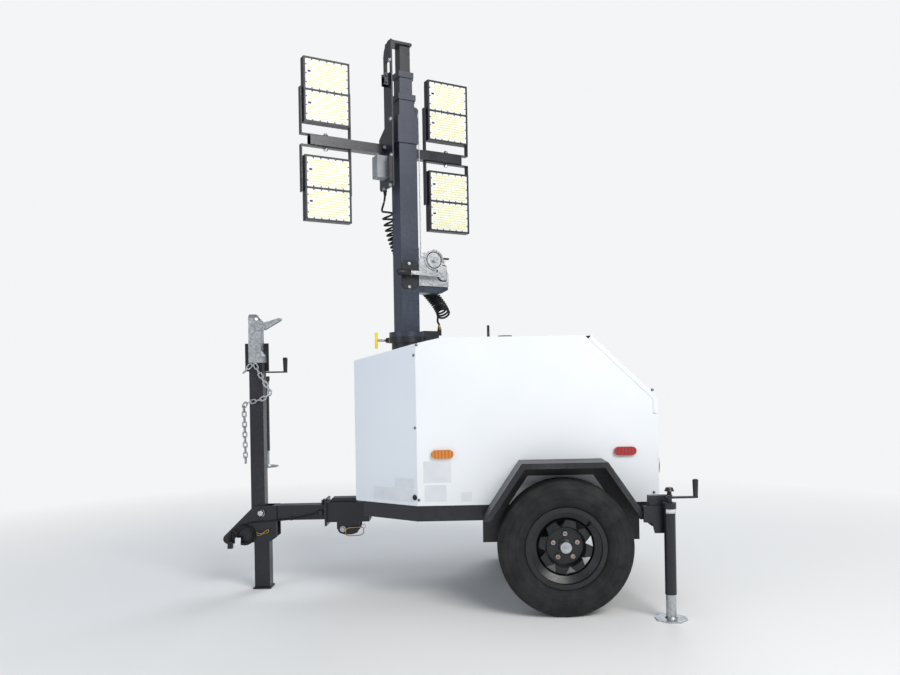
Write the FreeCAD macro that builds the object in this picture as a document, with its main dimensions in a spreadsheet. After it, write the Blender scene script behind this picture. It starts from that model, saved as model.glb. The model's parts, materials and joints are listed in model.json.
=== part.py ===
"""Mobile light tower: a single-axle trailer with a vertical mast and four lamps.

The frame is +X to the rear, +Y to the trailer's right, +Z up, millimetres. The origin is on the
ground, in the middle of the plan. Every size is a cell of the sheet, and a piece takes its place
from the pieces that it sits on.
"""
import FreeCAD, Part
import math
import os
import Sketcher

V = FreeCAD.Vector
doc = FreeCAD.newDocument("light_tower")

# Driving sizes: name, value in millimetres or degrees, what it measures.
SIZES = [
    ("axle_at", 552, "wheel axis behind the origin"),
    ("sheet_wall", 3, "folded sheet of the enclosure"),
    ("seam", 0.3, "gap between pieces that lie on each other"),
    # Wheels
    ("tyre_dia", 610, "tyre outside diameter"),
    ("tyre_wide", 175, "tyre section width"),
    ("tyre_wall", 11, "tyre side wall"),
    ("tread_thick", 20, "tyre under the tread"),
    ("tyre_gap", 43.5, "between the enclosure's side and the tyre"),
    ("bead_dia", 330, "rim seat, a 13 inch wheel"),
    ("rim_wide", 128, "rim between its flanges"),
    ("rim_flange", 17.5, "rim flange above the seat"),
    ("rim_wall", 4, "rim steel"),
    ("rim_well", 30, "depth of the rim's well"),
    ("disc_dish", 34, "disc cone, along the axis"),
    ("window_from", 88, "wheel window, inner corner radius"),
    ("window_to", 122, "wheel window, outer edge radius"),
    ("window_wide", 52, "wheel window, outer edge length"),
    ("window_count", 8, "wheel windows"),
    ("stud_circle", 114.3, "wheel stud circle"),
    ("stud_count", 5, "wheel studs"),
    ("stud_dia", 12, "wheel stud"),
    ("nut_across", 20, "wheel nut"),
    ("nut_long", 14, "wheel nut height"),
    ("hub_flange_dia", 148, "hub flange"),
    ("hub_flange_thick", 9, "hub flange"),
    ("hub_dia", 84, "hub barrel"),
    ("hub_long", 72, "hub barrel behind the flange"),
    ("hub_cap_dia", 62, "hub cap"),
    ("hub_cap_long", 44, "hub cap in front of the flange"),
    ("spindle_dia", 38, "axle spindle"),
    ("spindle_collar", 6, "axle arm round the spindle"),
    ("beam_tall", 60, "axle beam"),
    ("beam_ahead", 105, "axle beam ahead of the wheel axis"),
    ("arm_thick", 16, "axle arm"),
    # Enclosure and frame
    ("body_half", 471, "enclosure half width"),
    ("body_front", 984, "enclosure front face ahead of the wheel axis"),
    ("corner_turn", 36.5, "corner panel's slant from the side, degrees"),
    ("corner_ahead", 669, "where the side meets the slanted corner panel"),
    ("body_back", 463, "enclosure back face behind the wheel axis"),
    ("floor_z", 477, "enclosure floor"),
    ("roof_z", 1261, "enclosure roof"),
    ("ridge_ahead", 544, "where the roof starts to fall to the nose"),
    ("nose_slope", 12.2, "fall of the nose, degrees"),
    ("lid_top_back", 158, "hinge edge of the lid behind the wheel axis"),
    ("lid_slope", 44, "slope of the lid, degrees"),
    ("lid_deep", 22, "depth of the lid's folded edge"),
    ("lid_lip_z", 893, "lower edge of the lid"),
    ("lid_gap", 4, "between the lid's lower edge and the back panel"),
    ("knuckle_dia", 10, "lid hinge knuckle"),
    ("pull_wide", 90, "lid pull"),
    ("pull_deep", 14, "lid pull"),
    ("desk_deep", 75, "control desk below the lid"),
    ("louvre_count", 8, "cooling slots in the back panel"),
    ("louvre_pitch", 26, "cooling slots"),
    ("louvre_tall", 10, "cooling slots"),
    ("louvre_low", 120, "lowest cooling slot above the floor"),
    ("louvre_margin", 211, "end of a cooling slot from the enclosure's side"),
    ("rail_tall", 73, "frame rail"),
    ("rail_wide", 50, "frame rail"),
    ("rail_wall", 5, "frame rail"),
    ("rail_inset", 5, "frame rail inside the enclosure's side"),
    ("frame_front", 948, "frame front ahead of the wheel axis"),
    ("engine_long", 620, "engine and generator"),
    ("engine_half", 210, "engine half width"),
    ("engine_tall", 520, "engine and generator"),
    # Fenders
    ("fender_wide", 190, "fender outside the enclosure"),
    ("fender_top_half", 193, "fender flat top, half length"),
    ("fender_foot_half", 366, "fender at its knees, half length"),
    ("fender_top_z", 684, "fender top"),
    ("fender_slope", 55.7, "fender slope, degrees"),
    ("fender_foot_z", 303, "lower end of the fender's back plate"),
    ("fender_wall", 3, "fender sheet"),
    ("fender_lip", 25, "fender outer lip"),
    ("fender_flange", 75, "fender back plate"),
    # Drawbar, tongue and front leg
    ("bar_side", 76, "drawbar square tube"),
    ("bar_wall", 5, "drawbar tube wall"),
    ("bar_mid_z", 390, "drawbar middle"),
    ("sleeve_wall", 13, "drawbar sleeve"),
    ("sleeve_front", 1171, "sleeve front ahead of the wheel axis"),
    ("sleeve_flange", 10, "flange at the sleeve's mouth, thickness"),
    ("sleeve_flange_over", 17, "flange outside the sleeve"),
    ("lobe_deep", 65, "hanger under the sleeve"),
    ("lobe_long", 118, "hanger under the sleeve"),
    ("lobe_thick", 8, "hanger under the sleeve"),
    ("pivot_ahead", 1502, "tongue pivot ahead of the wheel axis"),
    ("pivot_dia", 24, "tongue pivot bolt"),
    ("pivot_up", 4, "tongue pivot above the drawbar's middle"),
    ("bolt_out", 15, "bolt head outside a hinge plate"),
    ("cheek_thick", 10, "hinge side plate"),
    ("cheek_gap", 3, "between the tongue and a side plate"),
    ("tip_round", 25, "round tip of a hinge plate"),
    ("pin_dia", 16, "hinge tip pin and leg pin"),
    ("tongue_wall", 5, "tongue tube wall"),
    ("tongue_long", 800, "tongue tube above its pivot"),
    ("tongue_ahead", 16, "tongue tube axis ahead of its pivot"),
    ("plate_long", 123, "jack plate on the tongue"),
    ("plate_tall", 147, "jack plate on the tongue"),
    ("plate_thick", 8, "jack plate on the tongue"),
    ("coupler_long", 219, "coupler's foot to the middle of its ball socket"),
    ("coupler_wall", 4, "coupler steel"),
    ("coupler_lap", 25, "coupler over the tongue tube"),
    ("coupler_round", 34, "round outside of the ball socket"),
    ("ball_dia", 51.6, "coupler socket for the 50.8 ball"),
    ("lever_long", 106, "coupler lever"),
    ("leg_side", 78, "front leg square tube"),
    ("leg_wall", 4, "front leg tube wall"),
    ("leg_pivot_z", 285, "front leg pin"),
    ("leg_over_pin", 30, "front leg above its pin"),
    ("leg_foot", 8, "front leg foot plate"),
    # Jacks
    ("jack_tube_dia", 50, "jack tube"),
    ("jack_inner_dia", 44, "jack inner tube"),
    ("jack_tube_long", 400, "jack tube"),
    ("jack_neck", 18, "jack neck above its tube"),
    ("jack_low", 110, "rear jack tube above the ground"),
    ("tongue_jack_show", 87, "tongue jack's inner tube below its tube"),
    ("jack_inside", 270, "inner tube inside the jack tube"),
    ("foot_side", 132, "jack foot plate"),
    ("foot_thick", 6, "jack foot plate"),
    ("crank_long", 115, "jack crank"),
    ("crank_thick", 8, "jack crank"),
    ("grip_long", 70, "jack crank grip"),
    ("grip_dia", 26, "jack crank grip"),
    ("jack_out", 254, "rear jack axis outside the enclosure's side"),
    ("jack_ahead", 17, "rear jack axis ahead of the enclosure's back"),
    ("swivel_z", 420, "rear jack swivel"),
    ("swivel_dia", 30, "jack swivel peg"),
    ("swivel_plate", 12, "plate that carries a jack's swivel"),
    ("outrigger_side", 50, "outrigger tube"),
    ("outrigger_wall", 4, "outrigger tube wall"),
    ("outrigger_back", 403, "outrigger behind the wheel axis"),
    ("outrigger_start", 60, "inner end of an outrigger from the middle"),
    ("holder_drop", 10, "outrigger holder below the rails"),
    ("tongue_jack_low", 612, "tongue jack foot when stowed"),
    ("tongue_jack_off", 136, "tongue jack axis beside the tongue"),
    ("tongue_jack_pivot", 1085, "tongue jack swivel"),
    # Mast
    ("mast_ahead", 736, "mast axis ahead of the wheel axis"),
    ("mast_turn", 29.5, "how far the mast is turned as it is parked, degrees"),
    ("mast_side", 100, "outer mast tube"),
    ("mast_wall", 4, "mast tube wall"),
    ("mast_step", 14, "each inner tube is this much smaller"),
    ("ring_dia", 185, "turning ring"),
    ("ring_tall", 25, "turning ring"),
    ("ring_top_z", 1315, "turning ring top"),
    ("skirt_tall", 30, "collar of the fixed socket"),
    ("socket_dia", 160, "fixed mast socket"),
    ("socket_wall", 7, "fixed mast socket"),
    ("sleeve_drop", 60, "fixed mast socket's sleeve, below its collar"),
    ("mast_foot_z", 507, "lower end of the outer mast tube, on its foot bearing"),
    ("mast_top_z", 2333, "outer tube top"),
    ("collar_tall", 98, "collar on the outer tube"),
    ("collar_lap", 40, "collar over the outer tube"),
    ("collar_wall", 8, "collar outside the outer tube"),
    ("stage_show", 118, "how far each inner tube stands out of the one below"),
    ("stage_collar", 30, "collar on an inner tube"),
    ("stage_collar_wall", 6, "collar outside an inner tube"),
    ("stage_floor", 30, "each inner tube's foot above the foot of the one outside it"),
    ("head_over", 487, "mast cap above the outer tube"),
    ("cap_thick", 14, "mast cap"),
    ("hanger_gap", 30, "between the outer tube and the head's hanger"),
    ("hanger_thick", 8, "head's hanger"),
    ("hanger_half", 48, "half width of the head's hanger"),
    ("hanger_below", 215, "lower end of the head's hanger below the crossbar"),
    ("bar_below", 54, "crossbar middle below the outer tube's top"),
    ("bar_long", 866, "crossbar"),
    ("bar_tall", 50, "crossbar"),
    ("bar_thin", 3, "crossbar wall"),
    ("bar_off", 86, "crossbar behind the mast axis"),
    ("bar_shift", 52, "crossbar middle to the left of the mast axis"),
    ("yoke_apart", 692, "between the lamp columns"),
    ("lamp_wide", 243, "lamp"),
    ("lamp_tall", 326, "lamp"),
    ("lamp_deep", 74, "lamp with its cooling fins"),
    ("lamp_case", 46, "lamp without its cooling fins"),
    ("lamp_rim", 9, "rim round a lamp's light panel"),
    ("lamp_recess", 4, "light panel behind the lamp's rim"),
    ("fin_count", 9, "cooling fins of a lamp"),
    ("fin_thick", 3, "cooling fin"),
    ("lamp_up", 245, "lamp pivot from the crossbar middle"),
    ("lamp_pin", 20, "lamp pivot"),
    ("yoke_thick", 5, "lamp yoke"),
    ("yoke_wide", 32, "lamp yoke"),
    ("yoke_gap", 6, "between a lamp and its yoke"),
    ("yoke_over", 18, "lamp yoke past the lamp's pivot"),
    ("yoke_bolt", 14, "bolt that a yoke turns on"),
    ("winch_u", 138, "winch drum from the mast axis"),
    ("winch_z", 1695, "winch drum axis"),
    ("winch_base_z", 1522, "winch bracket, lower face"),
    ("winch_base_tall", 35, "winch bracket"),
    ("winch_base_end", 224, "winch bracket from the mast axis"),
    ("winch_drum_dia", 110, "winch drum flange"),
    ("winch_core_dia", 80, "winch drum with its rope"),
    ("winch_wide", 104, "winch frame"),
    ("winch_plate", 4, "winch side plate"),
    ("winch_shaft_u", 165, "winch crank shaft from the mast axis"),
    ("winch_shaft_z", 1613, "winch crank shaft"),
    ("winch_crank", 188, "winch crank"),
    ("winch_grip_dia", 30, "winch crank grip"),
    ("pulley_dia", 40, "rope pulley"),
    ("pulley_z", 2490, "rope pulley"),
    ("rope_dia", 5, "winch rope"),
    ("rope_off", 20, "winch rope behind the mast axis"),
    ("gland_end", 179, "junction block on the ring, outer end from the mast axis"),
    ("gland_tall", 52, "junction block on the ring"),
    ("gland_wide", 36, "junction block on the ring"),
    ("turn_gap", 5, "between the junction block and the fixed socket"),
    ("gland_over", 9, "junction block above the ring"),
    ("gland_off", 2, "between the junction block and its cord gland"),
    ("gland_drop", 14, "lower end of the cord gland below the ring's top"),
    ("gland_long", 32.7, "cord gland"),
    ("gland_dia", 22, "cord gland"),
    ("pin_handle_long", 84, "handle of the mast's lock pin"),
    ("pin_reach", 161, "handle of the mast's lock pin from the mast axis"),
    ("pin_handle_dia", 15, "handle of the mast's lock pin"),
    ("pin_stem_dia", 12, "mast's lock pin"),
    ("pin_boss_dia", 24, "boss of the mast's lock pin, at its outer end"),
    ("pin_boss_long", 18, "boss of the mast's lock pin"),
    # Lamps on the sides, trim
    ("marker_z", 717, "marker lamps"),
    ("marker_long", 104, "marker lamps"),
    ("marker_tall", 40, "marker lamps"),
    ("marker_deep", 14, "marker lamps"),
    ("amber_ahead", 549, "front markers ahead of the wheel axis"),
    ("red_behind", 305, "rear markers behind the wheel axis"),
    ("tail_dia", 100, "tail lamps"),
    ("tail_in", 90, "tail lamps inside the enclosure's side"),
    ("tail_z", 640, "tail lamps"),
    ("eye_ahead", 311, "lifting eye ahead of the wheel axis"),
    ("eye_tall", 84, "lifting eye"),
    ("eye_half", 45, "lifting eye, half its foot"),
    ("eye_thick", 12, "lifting eye"),
    ("eye_hole_dia", 32, "lifting eye"),
    ("cap_ahead", 236, "filler cap ahead of the wheel axis"),
    ("cap_side", 250, "filler cap from the middle"),
    ("cap_dia", 70, "filler cap"),
    ("cap_tall", 15, "filler cap"),
    # Cords
    ("cord_fat", 58, "curly cord, over its turns"),
    ("tow_dia", 7.5, "tow light cable"),
    ("hank_dia", 121, "hank of the tow light cable"),
    ("hank_thick", 22, "hank of the tow light cable"),
    ("link_long", 38, "safety chain link"),
    ("link_wide", 24, "safety chain link"),
    ("link_wire", 6, "safety chain link"),
]

sheet = doc.addObject("Spreadsheet::Sheet", "sizes")
for row, (name, value, note) in enumerate(SIZES, start=1):
    sheet.set(f"A{row}", name)
    sheet.set(f"B{row}", str(value))
    sheet.set(f"C{row}", note)
    sheet.setAlias(f"B{row}", name)
doc.recompute()


class Size:
    """A size worked out from the sheet: its formula, which binds a piece to it, and its number."""

    def __init__(self, formula, value):
        self.formula = formula
        self.value = float(value)

    def _with(self, sign, other, value, swapped=False):
        left, right = as_size(self).formula, as_size(other).formula
        if swapped:
            left, right = right, left
        return Size(f"({left} {sign} {right})", value)

    def __add__(self, other):
        return self._with("+", other, self.value + as_size(other).value)

    def __sub__(self, other):
        return self._with("-", other, self.value - as_size(other).value)

    def __mul__(self, other):
        return self._with("*", other, self.value * as_size(other).value)

    def __truediv__(self, other):
        return self._with("/", other, self.value / as_size(other).value)

    def __radd__(self, other):
        return self._with("+", other, as_size(other).value + self.value, swapped=True)

    def __rsub__(self, other):
        return self._with("-", other, as_size(other).value - self.value, swapped=True)

    def __rmul__(self, other):
        return self._with("*", other, as_size(other).value * self.value, swapped=True)

    def __rtruediv__(self, other):
        return self._with("/", other, as_size(other).value / self.value, swapped=True)

    def __neg__(self):
        return Size(f"(0 - {self.formula})", -self.value)

    def __float__(self):
        return self.value


def as_size(number):
    """The number itself as a size, where it isn't one already."""
    return number if isinstance(number, Size) else Size(repr(float(number)), number)


def turn(function, degrees):
    """sin, cos or tan of an angle in degrees."""
    angle = as_size(degrees)
    return Size(f"{function}({angle.formula})", getattr(math, function)(math.radians(angle.value)))


class Table:
    """The sheet's cells by name."""


D = Table()
for name, value, note in SIZES:
    setattr(D, name, Size(f"sizes.{name}", value))


def bind(thing, **fields):
    """Bind fields of an object to sizes; a point is spread over its x, y and z."""
    for field, size in fields.items():
        thing.setExpression(field, as_size(size).formula)


def place(thing, at=(0, 0, 0), axis=(0, 0, 1), angle=0):
    """Put an object at a point, turned about an axis."""
    turned_by = FreeCAD.Rotation(V(*axis), as_size(angle).value)
    thing.Placement = FreeCAD.Placement(V(*[as_size(c).value for c in at]), turned_by)
    for letter, coordinate in zip("xyz", at):
        thing.setExpression(f".Placement.Base.{letter}", as_size(coordinate).formula)
    if isinstance(angle, Size):
        thing.setExpression(".Placement.Rotation.Angle", angle.formula)
    return thing


made = 0


def helper_name(word):
    """A name for a piece that only goes into another one."""
    global made
    made += 1
    return f"{word}_{made}"


def box(at, size, name=None):
    """A block with its low corner at a point."""
    block = doc.addObject("Part::Box", name or helper_name("block"))
    bind(block, Length=size[0], Width=size[1], Height=size[2])
    return place(block, at)


def bar(mid, size, name=None):
    """A block centred on a point in X and Y, standing on its z."""
    return box((mid[0] - size[0] * 0.5, mid[1] - size[1] * 0.5, mid[2]), size, name)


def block(mid, size, name=None):
    """A block centred on a point."""
    return box([m - s * 0.5 for m, s in zip(mid, size)], size, name)


def rod(at, axis, dia, length, name=None):
    """A round bar from a point along an axis."""
    round_bar = doc.addObject("Part::Cylinder", name or helper_name("rod"))
    bind(round_bar, Radius=as_size(dia) * 0.5, Height=length)
    axes = {"x": ((0, 1, 0), 90), "y": ((1, 0, 0), -90), "z": ((0, 0, 1), 0)}
    return place(round_bar, at, *axes[axis])


def cone(at, axis, dia, end_dia, length, name=None):
    """A tapered round bar from a point along an axis."""
    taper = doc.addObject("Part::Cone", name or helper_name("cone"))
    bind(taper, Radius1=as_size(dia) * 0.5, Radius2=as_size(end_dia) * 0.5, Height=length)
    axes = {"x": ((0, 1, 0), 90), "y": ((1, 0, 0), -90), "z": ((0, 0, 1), 0)}
    return place(taper, at, *axes[axis])


def fuse(pieces, name=None):
    """Several pieces welded into one."""
    joined = doc.addObject("Part::MultiFuse", name or helper_name("joined"))
    joined.Shapes = pieces
    joined.Refine = True
    return joined


def cut(base, tools, name=None):
    """A piece with other shapes taken out of it."""
    tool = tools[0] if len(tools) == 1 else fuse(tools)
    result = doc.addObject("Part::Cut", name or helper_name("cut"))
    result.Base, result.Tool = base, tool
    return result


def common(first, second, name=None):
    """What two shapes share."""
    result = doc.addObject("Part::Common", name or helper_name("common"))
    result.Base, result.Tool = first, second
    return result


PLANES = {"xy": ("XY_Plane", (0, 0, 1)), "xz": ("XZ_Plane", (0, -1, 0)), "yz": ("YZ_Plane", (1, 0, 0))}


def outline(sketch, points):
    """Add a closed outline of straight lines, each corner bound to its two sizes."""
    first = sketch.GeometryCount
    count = len(points)
    corners = [V(as_size(a).value, as_size(b).value, 0) for a, b in points]
    for k in range(count):
        sketch.addGeometry(Part.LineSegment(corners[k], corners[(k + 1) % count]))
    for k, (a, b) in enumerate(points):
        sketch.addConstraint(Sketcher.Constraint("Coincident", first + k, 2, first + (k + 1) % count, 1))
    for k, pair in enumerate(points):
        for kind, letter, size in (("DistanceX", "x", pair[0]), ("DistanceY", "y", pair[1])):
            number = sketch.addConstraint(
                Sketcher.Constraint(kind, -1, 1, first + k, 1, as_size(size).value))
            sketch.renameConstraint(number, f"{letter}{first + k}")
            if isinstance(size, Size):
                sketch.setExpression(f"Constraints.{letter}{first + k}", size.formula)


def ring_line(sketch, a, b, radius):
    """Add a circle, its middle and radius bound."""
    index = sketch.addGeometry(Part.Circle(V(float(a), float(b), 0), V(0, 0, 1), float(radius)))
    rows = (("DistanceX", "a", a), ("DistanceY", "b", b))
    for kind, letter, size in rows:
        number = sketch.addConstraint(Sketcher.Constraint(kind, -1, 1, index, 3, float(size)))
        sketch.renameConstraint(number, f"{letter}{index}")
        if isinstance(size, Size):
            sketch.setExpression(f"Constraints.{letter}{index}", size.formula)
    number = sketch.addConstraint(Sketcher.Constraint("Radius", index, float(radius)))
    sketch.renameConstraint(number, f"r{index}")
    if isinstance(radius, Size):
        sketch.setExpression(f"Constraints.r{index}", radius.formula)


def sketch_on(body, plane, outlines, circles=()):
    """A sketch on one of the body's own planes."""
    sketch = body.newObject("Sketcher::SketchObject", helper_name("sketch"))
    role = PLANES[plane][0]
    support = [f for f in body.Origin.OriginFeatures if f.Role == role][0]
    sketch.AttachmentSupport = [(support, "")]
    sketch.MapMode = "FlatFace"
    for points in outlines:
        outline(sketch, points)
    for circle in circles:
        ring_line(sketch, *circle)
    return sketch


def slab(plane, outlines, depth, at=(0, 0, 0), circles=(), name=None):
    """A plate cut to an outline, centred on its plane; inner outlines and circles are holes."""
    body = doc.addObject("PartDesign::Body", name or helper_name("slab"))
    pad = body.newObject("PartDesign::Pad", helper_name("pad"))
    pad.Profile = sketch_on(body, plane, outlines, circles)
    bind(pad, Length=depth)
    pad.Midplane = True
    return place(body, at)


def turned(outlines, at=(0, 0, 0), name=None):
    """A piece turned about the Y axis, from an outline of radius and place along it."""
    body = doc.addObject("PartDesign::Body", name or helper_name("turned"))
    profile = sketch_on(body, "xy", outlines)
    spin = body.newObject("PartDesign::Revolution", helper_name("spin"))
    spin.Profile = profile
    spin.ReferenceAxis = (profile, ["V_Axis"])
    spin.Angle = 360
    return place(body, at)


NODES = []


def node(piece, name):
    """Make a piece one of the sub-parts, under its own name."""
    piece.Label = name
    NODES.append(piece)
    return piece


def tube_x(start_x, mid_y, mid_z, side, wall, length):
    """A square tube along X, by its outer side and wall."""
    outer = box((start_x, mid_y - side * 0.5, mid_z - side * 0.5), (length, side, side))
    bore = side - wall * 2
    inner = box((start_x - 1, mid_y - bore * 0.5, mid_z - bore * 0.5), (length + 2, bore, bore))
    return cut(outer, [inner])


def tube_y(mid_x, start_y, mid_z, side, wall, length):
    """A square tube along Y."""
    outer = box((mid_x - side * 0.5, start_y, mid_z - side * 0.5), (side, length, side))
    bore = side - wall * 2
    inner = box((mid_x - bore * 0.5, start_y - 1, mid_z - bore * 0.5), (bore, length + 2, bore))
    return cut(outer, [inner])


def tube_z(mid_x, mid_y, start_z, side, wall, length):
    """A square tube along Z."""
    outer = bar((mid_x, mid_y, start_z), (side, side, length))
    bore = side - wall * 2
    inner = bar((mid_x, mid_y, start_z - 1), (bore, bore, length + 2))
    return cut(outer, [inner])


# Places that several pieces share
wheel_z = D.tyre_dia * 0.5
wheel_mid = D.body_half + D.tyre_gap + D.tyre_wide * 0.5
front_x = D.axle_at - D.body_front
corner_x = D.axle_at - D.corner_ahead
back_x = D.axle_at + D.body_back
ridge_x = D.axle_at - D.ridge_ahead
lid_top_x = D.axle_at + D.lid_top_back
lid_knee_z = D.roof_z - (back_x - lid_top_x) * turn("tan", D.lid_slope)
rest_z = D.lid_lip_z - D.lid_gap
nose_top_z = D.roof_z - (ridge_x - front_x) * turn("tan", D.nose_slope)
frame_front_x = D.axle_at - D.frame_front
rail_bottom_z = D.floor_z - D.rail_tall
nose_half_y = D.body_half - (D.body_front - D.corner_ahead) * turn("tan", D.corner_turn)
edge_x = corner_x + D.sheet_wall * turn("tan", D.corner_turn * 0.5)
pivot_x = D.axle_at - D.pivot_ahead
pivot_z = D.bar_mid_z + D.pivot_up
tongue_x = pivot_x - D.tongue_ahead
tongue_side = D.bar_side - D.cheek_gap * 2
tongue_top = pivot_z + D.tongue_long
cheek_out = D.bar_side * 0.5 + D.cheek_thick
mast_x = D.axle_at - D.mast_ahead
bar_z = D.mast_top_z - D.bar_below
head_top_z = D.mast_top_z + D.head_over
hanger_u = -D.mast_side * 0.5 - D.hanger_gap
rope_u = D.winch_u - D.winch_core_dia * 0.5
SIDES = (("left", -1), ("right", 1))


def plan(inset, nose_x=front_x, nose_half=nose_half_y):
    """The enclosure's outline from above, moved inwards; seen from the front left corner round."""
    nose_y = nose_half - inset * turn("tan", (90 - D.corner_turn) * 0.5)
    bend_x = corner_x + inset * turn("tan", D.corner_turn * 0.5)
    side_y = D.body_half - inset
    return [(nose_x + inset, -nose_y), (bend_x, -side_y), (back_x - inset, -side_y),
            (back_x - inset, side_y), (bend_x, side_y), (nose_x + inset, nose_y)]


def roof_under(x):
    """Height of the underside of the nose's slope at a place along the trailer."""
    return D.roof_z - D.sheet_wall / turn("cos", D.nose_slope) - (ridge_x - x) * turn("tan", D.nose_slope)


def make_frame():
    """Perimeter frame of inward channels, with cross members and the outrigger tube."""
    nose_half = nose_half_y + (D.body_front - D.frame_front) * turn("tan", D.corner_turn)
    outer = plan(D.rail_inset, frame_front_x, nose_half)
    web = plan(D.rail_inset + D.rail_wall, frame_front_x, nose_half)
    inner = plan(D.rail_inset + D.rail_wide, frame_front_x, nose_half)
    mid_z = D.floor_z - D.rail_tall * 0.5
    ring = slab("xy", [outer, inner], D.rail_tall, (0, 0, mid_z))
    hollow = slab("xy", [web], D.rail_tall - D.rail_wall * 2, (0, 0, mid_z))
    channel = cut(ring, [hollow])
    inside = D.body_half - D.rail_inset - D.rail_wall
    nose_run = D.body_front - D.mast_ahead - D.rail_wide
    nose_reach = nose_half_y + nose_run * turn("tan", D.corner_turn) - D.rail_wide * 0.5
    holder_x = D.axle_at + D.outrigger_back
    members = [(mast_x, nose_reach), (D.axle_at - D.beam_ahead, inside),
               (holder_x - D.outrigger_side * 2, inside)]
    cross = [box((x - D.rail_wide * 0.5, -reach, rail_bottom_z + D.rail_wall),
                 (D.rail_wide, reach * 2, D.rail_tall - D.rail_wall * 2)) for x, reach in members]
    slot = D.outrigger_side + 1
    holder_side = slot + D.rail_wall * 2
    holder_z = rail_bottom_z - D.holder_drop
    holder = box((holder_x - holder_side * 0.5, -D.body_half, holder_z),
                 (holder_side, D.body_half * 2, holder_side))
    passage = box((holder_x - slot * 0.5, -D.body_half - 1, holder_z + D.rail_wall),
                  (slot, D.body_half * 2 + 2, slot))
    node(cut(fuse([channel, holder] + cross), [passage], "frame"), "frame")


def make_axle():
    """Axle beam under the rails, with an arm and a spindle at each end."""
    beam_x = D.axle_at - D.beam_ahead
    beam_z = rail_bottom_z - D.beam_tall * 0.5
    beam_half = D.body_half - D.rail_inset
    eye = D.spindle_dia * 0.5 + D.spindle_collar
    beam = box((beam_x - D.beam_tall * 0.5, -beam_half, beam_z - D.beam_tall * 0.5),
               (D.beam_tall, beam_half * 2, D.beam_tall))
    pieces = [beam]
    for side, sign in SIDES:
        arm = [(beam_x - D.beam_tall * 0.5, beam_z - D.beam_tall * 0.5), (D.axle_at, wheel_z - eye),
               (D.axle_at + eye, wheel_z), (D.axle_at, wheel_z + eye),
               (beam_x - D.beam_tall * 0.5, beam_z + D.beam_tall * 0.5)]
        pieces.append(slab("xz", [arm], D.arm_thick, (0, (beam_half + D.arm_thick * 0.5) * sign, 0)))
        reach = wheel_mid - D.rim_wall - 2 - beam_half
        start = beam_half if sign > 0 else -beam_half - reach
        pieces.append(rod((D.axle_at, start, wheel_z), "y", D.spindle_dia, reach))
    node(fuse(pieces, "axle"), "axle")


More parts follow.
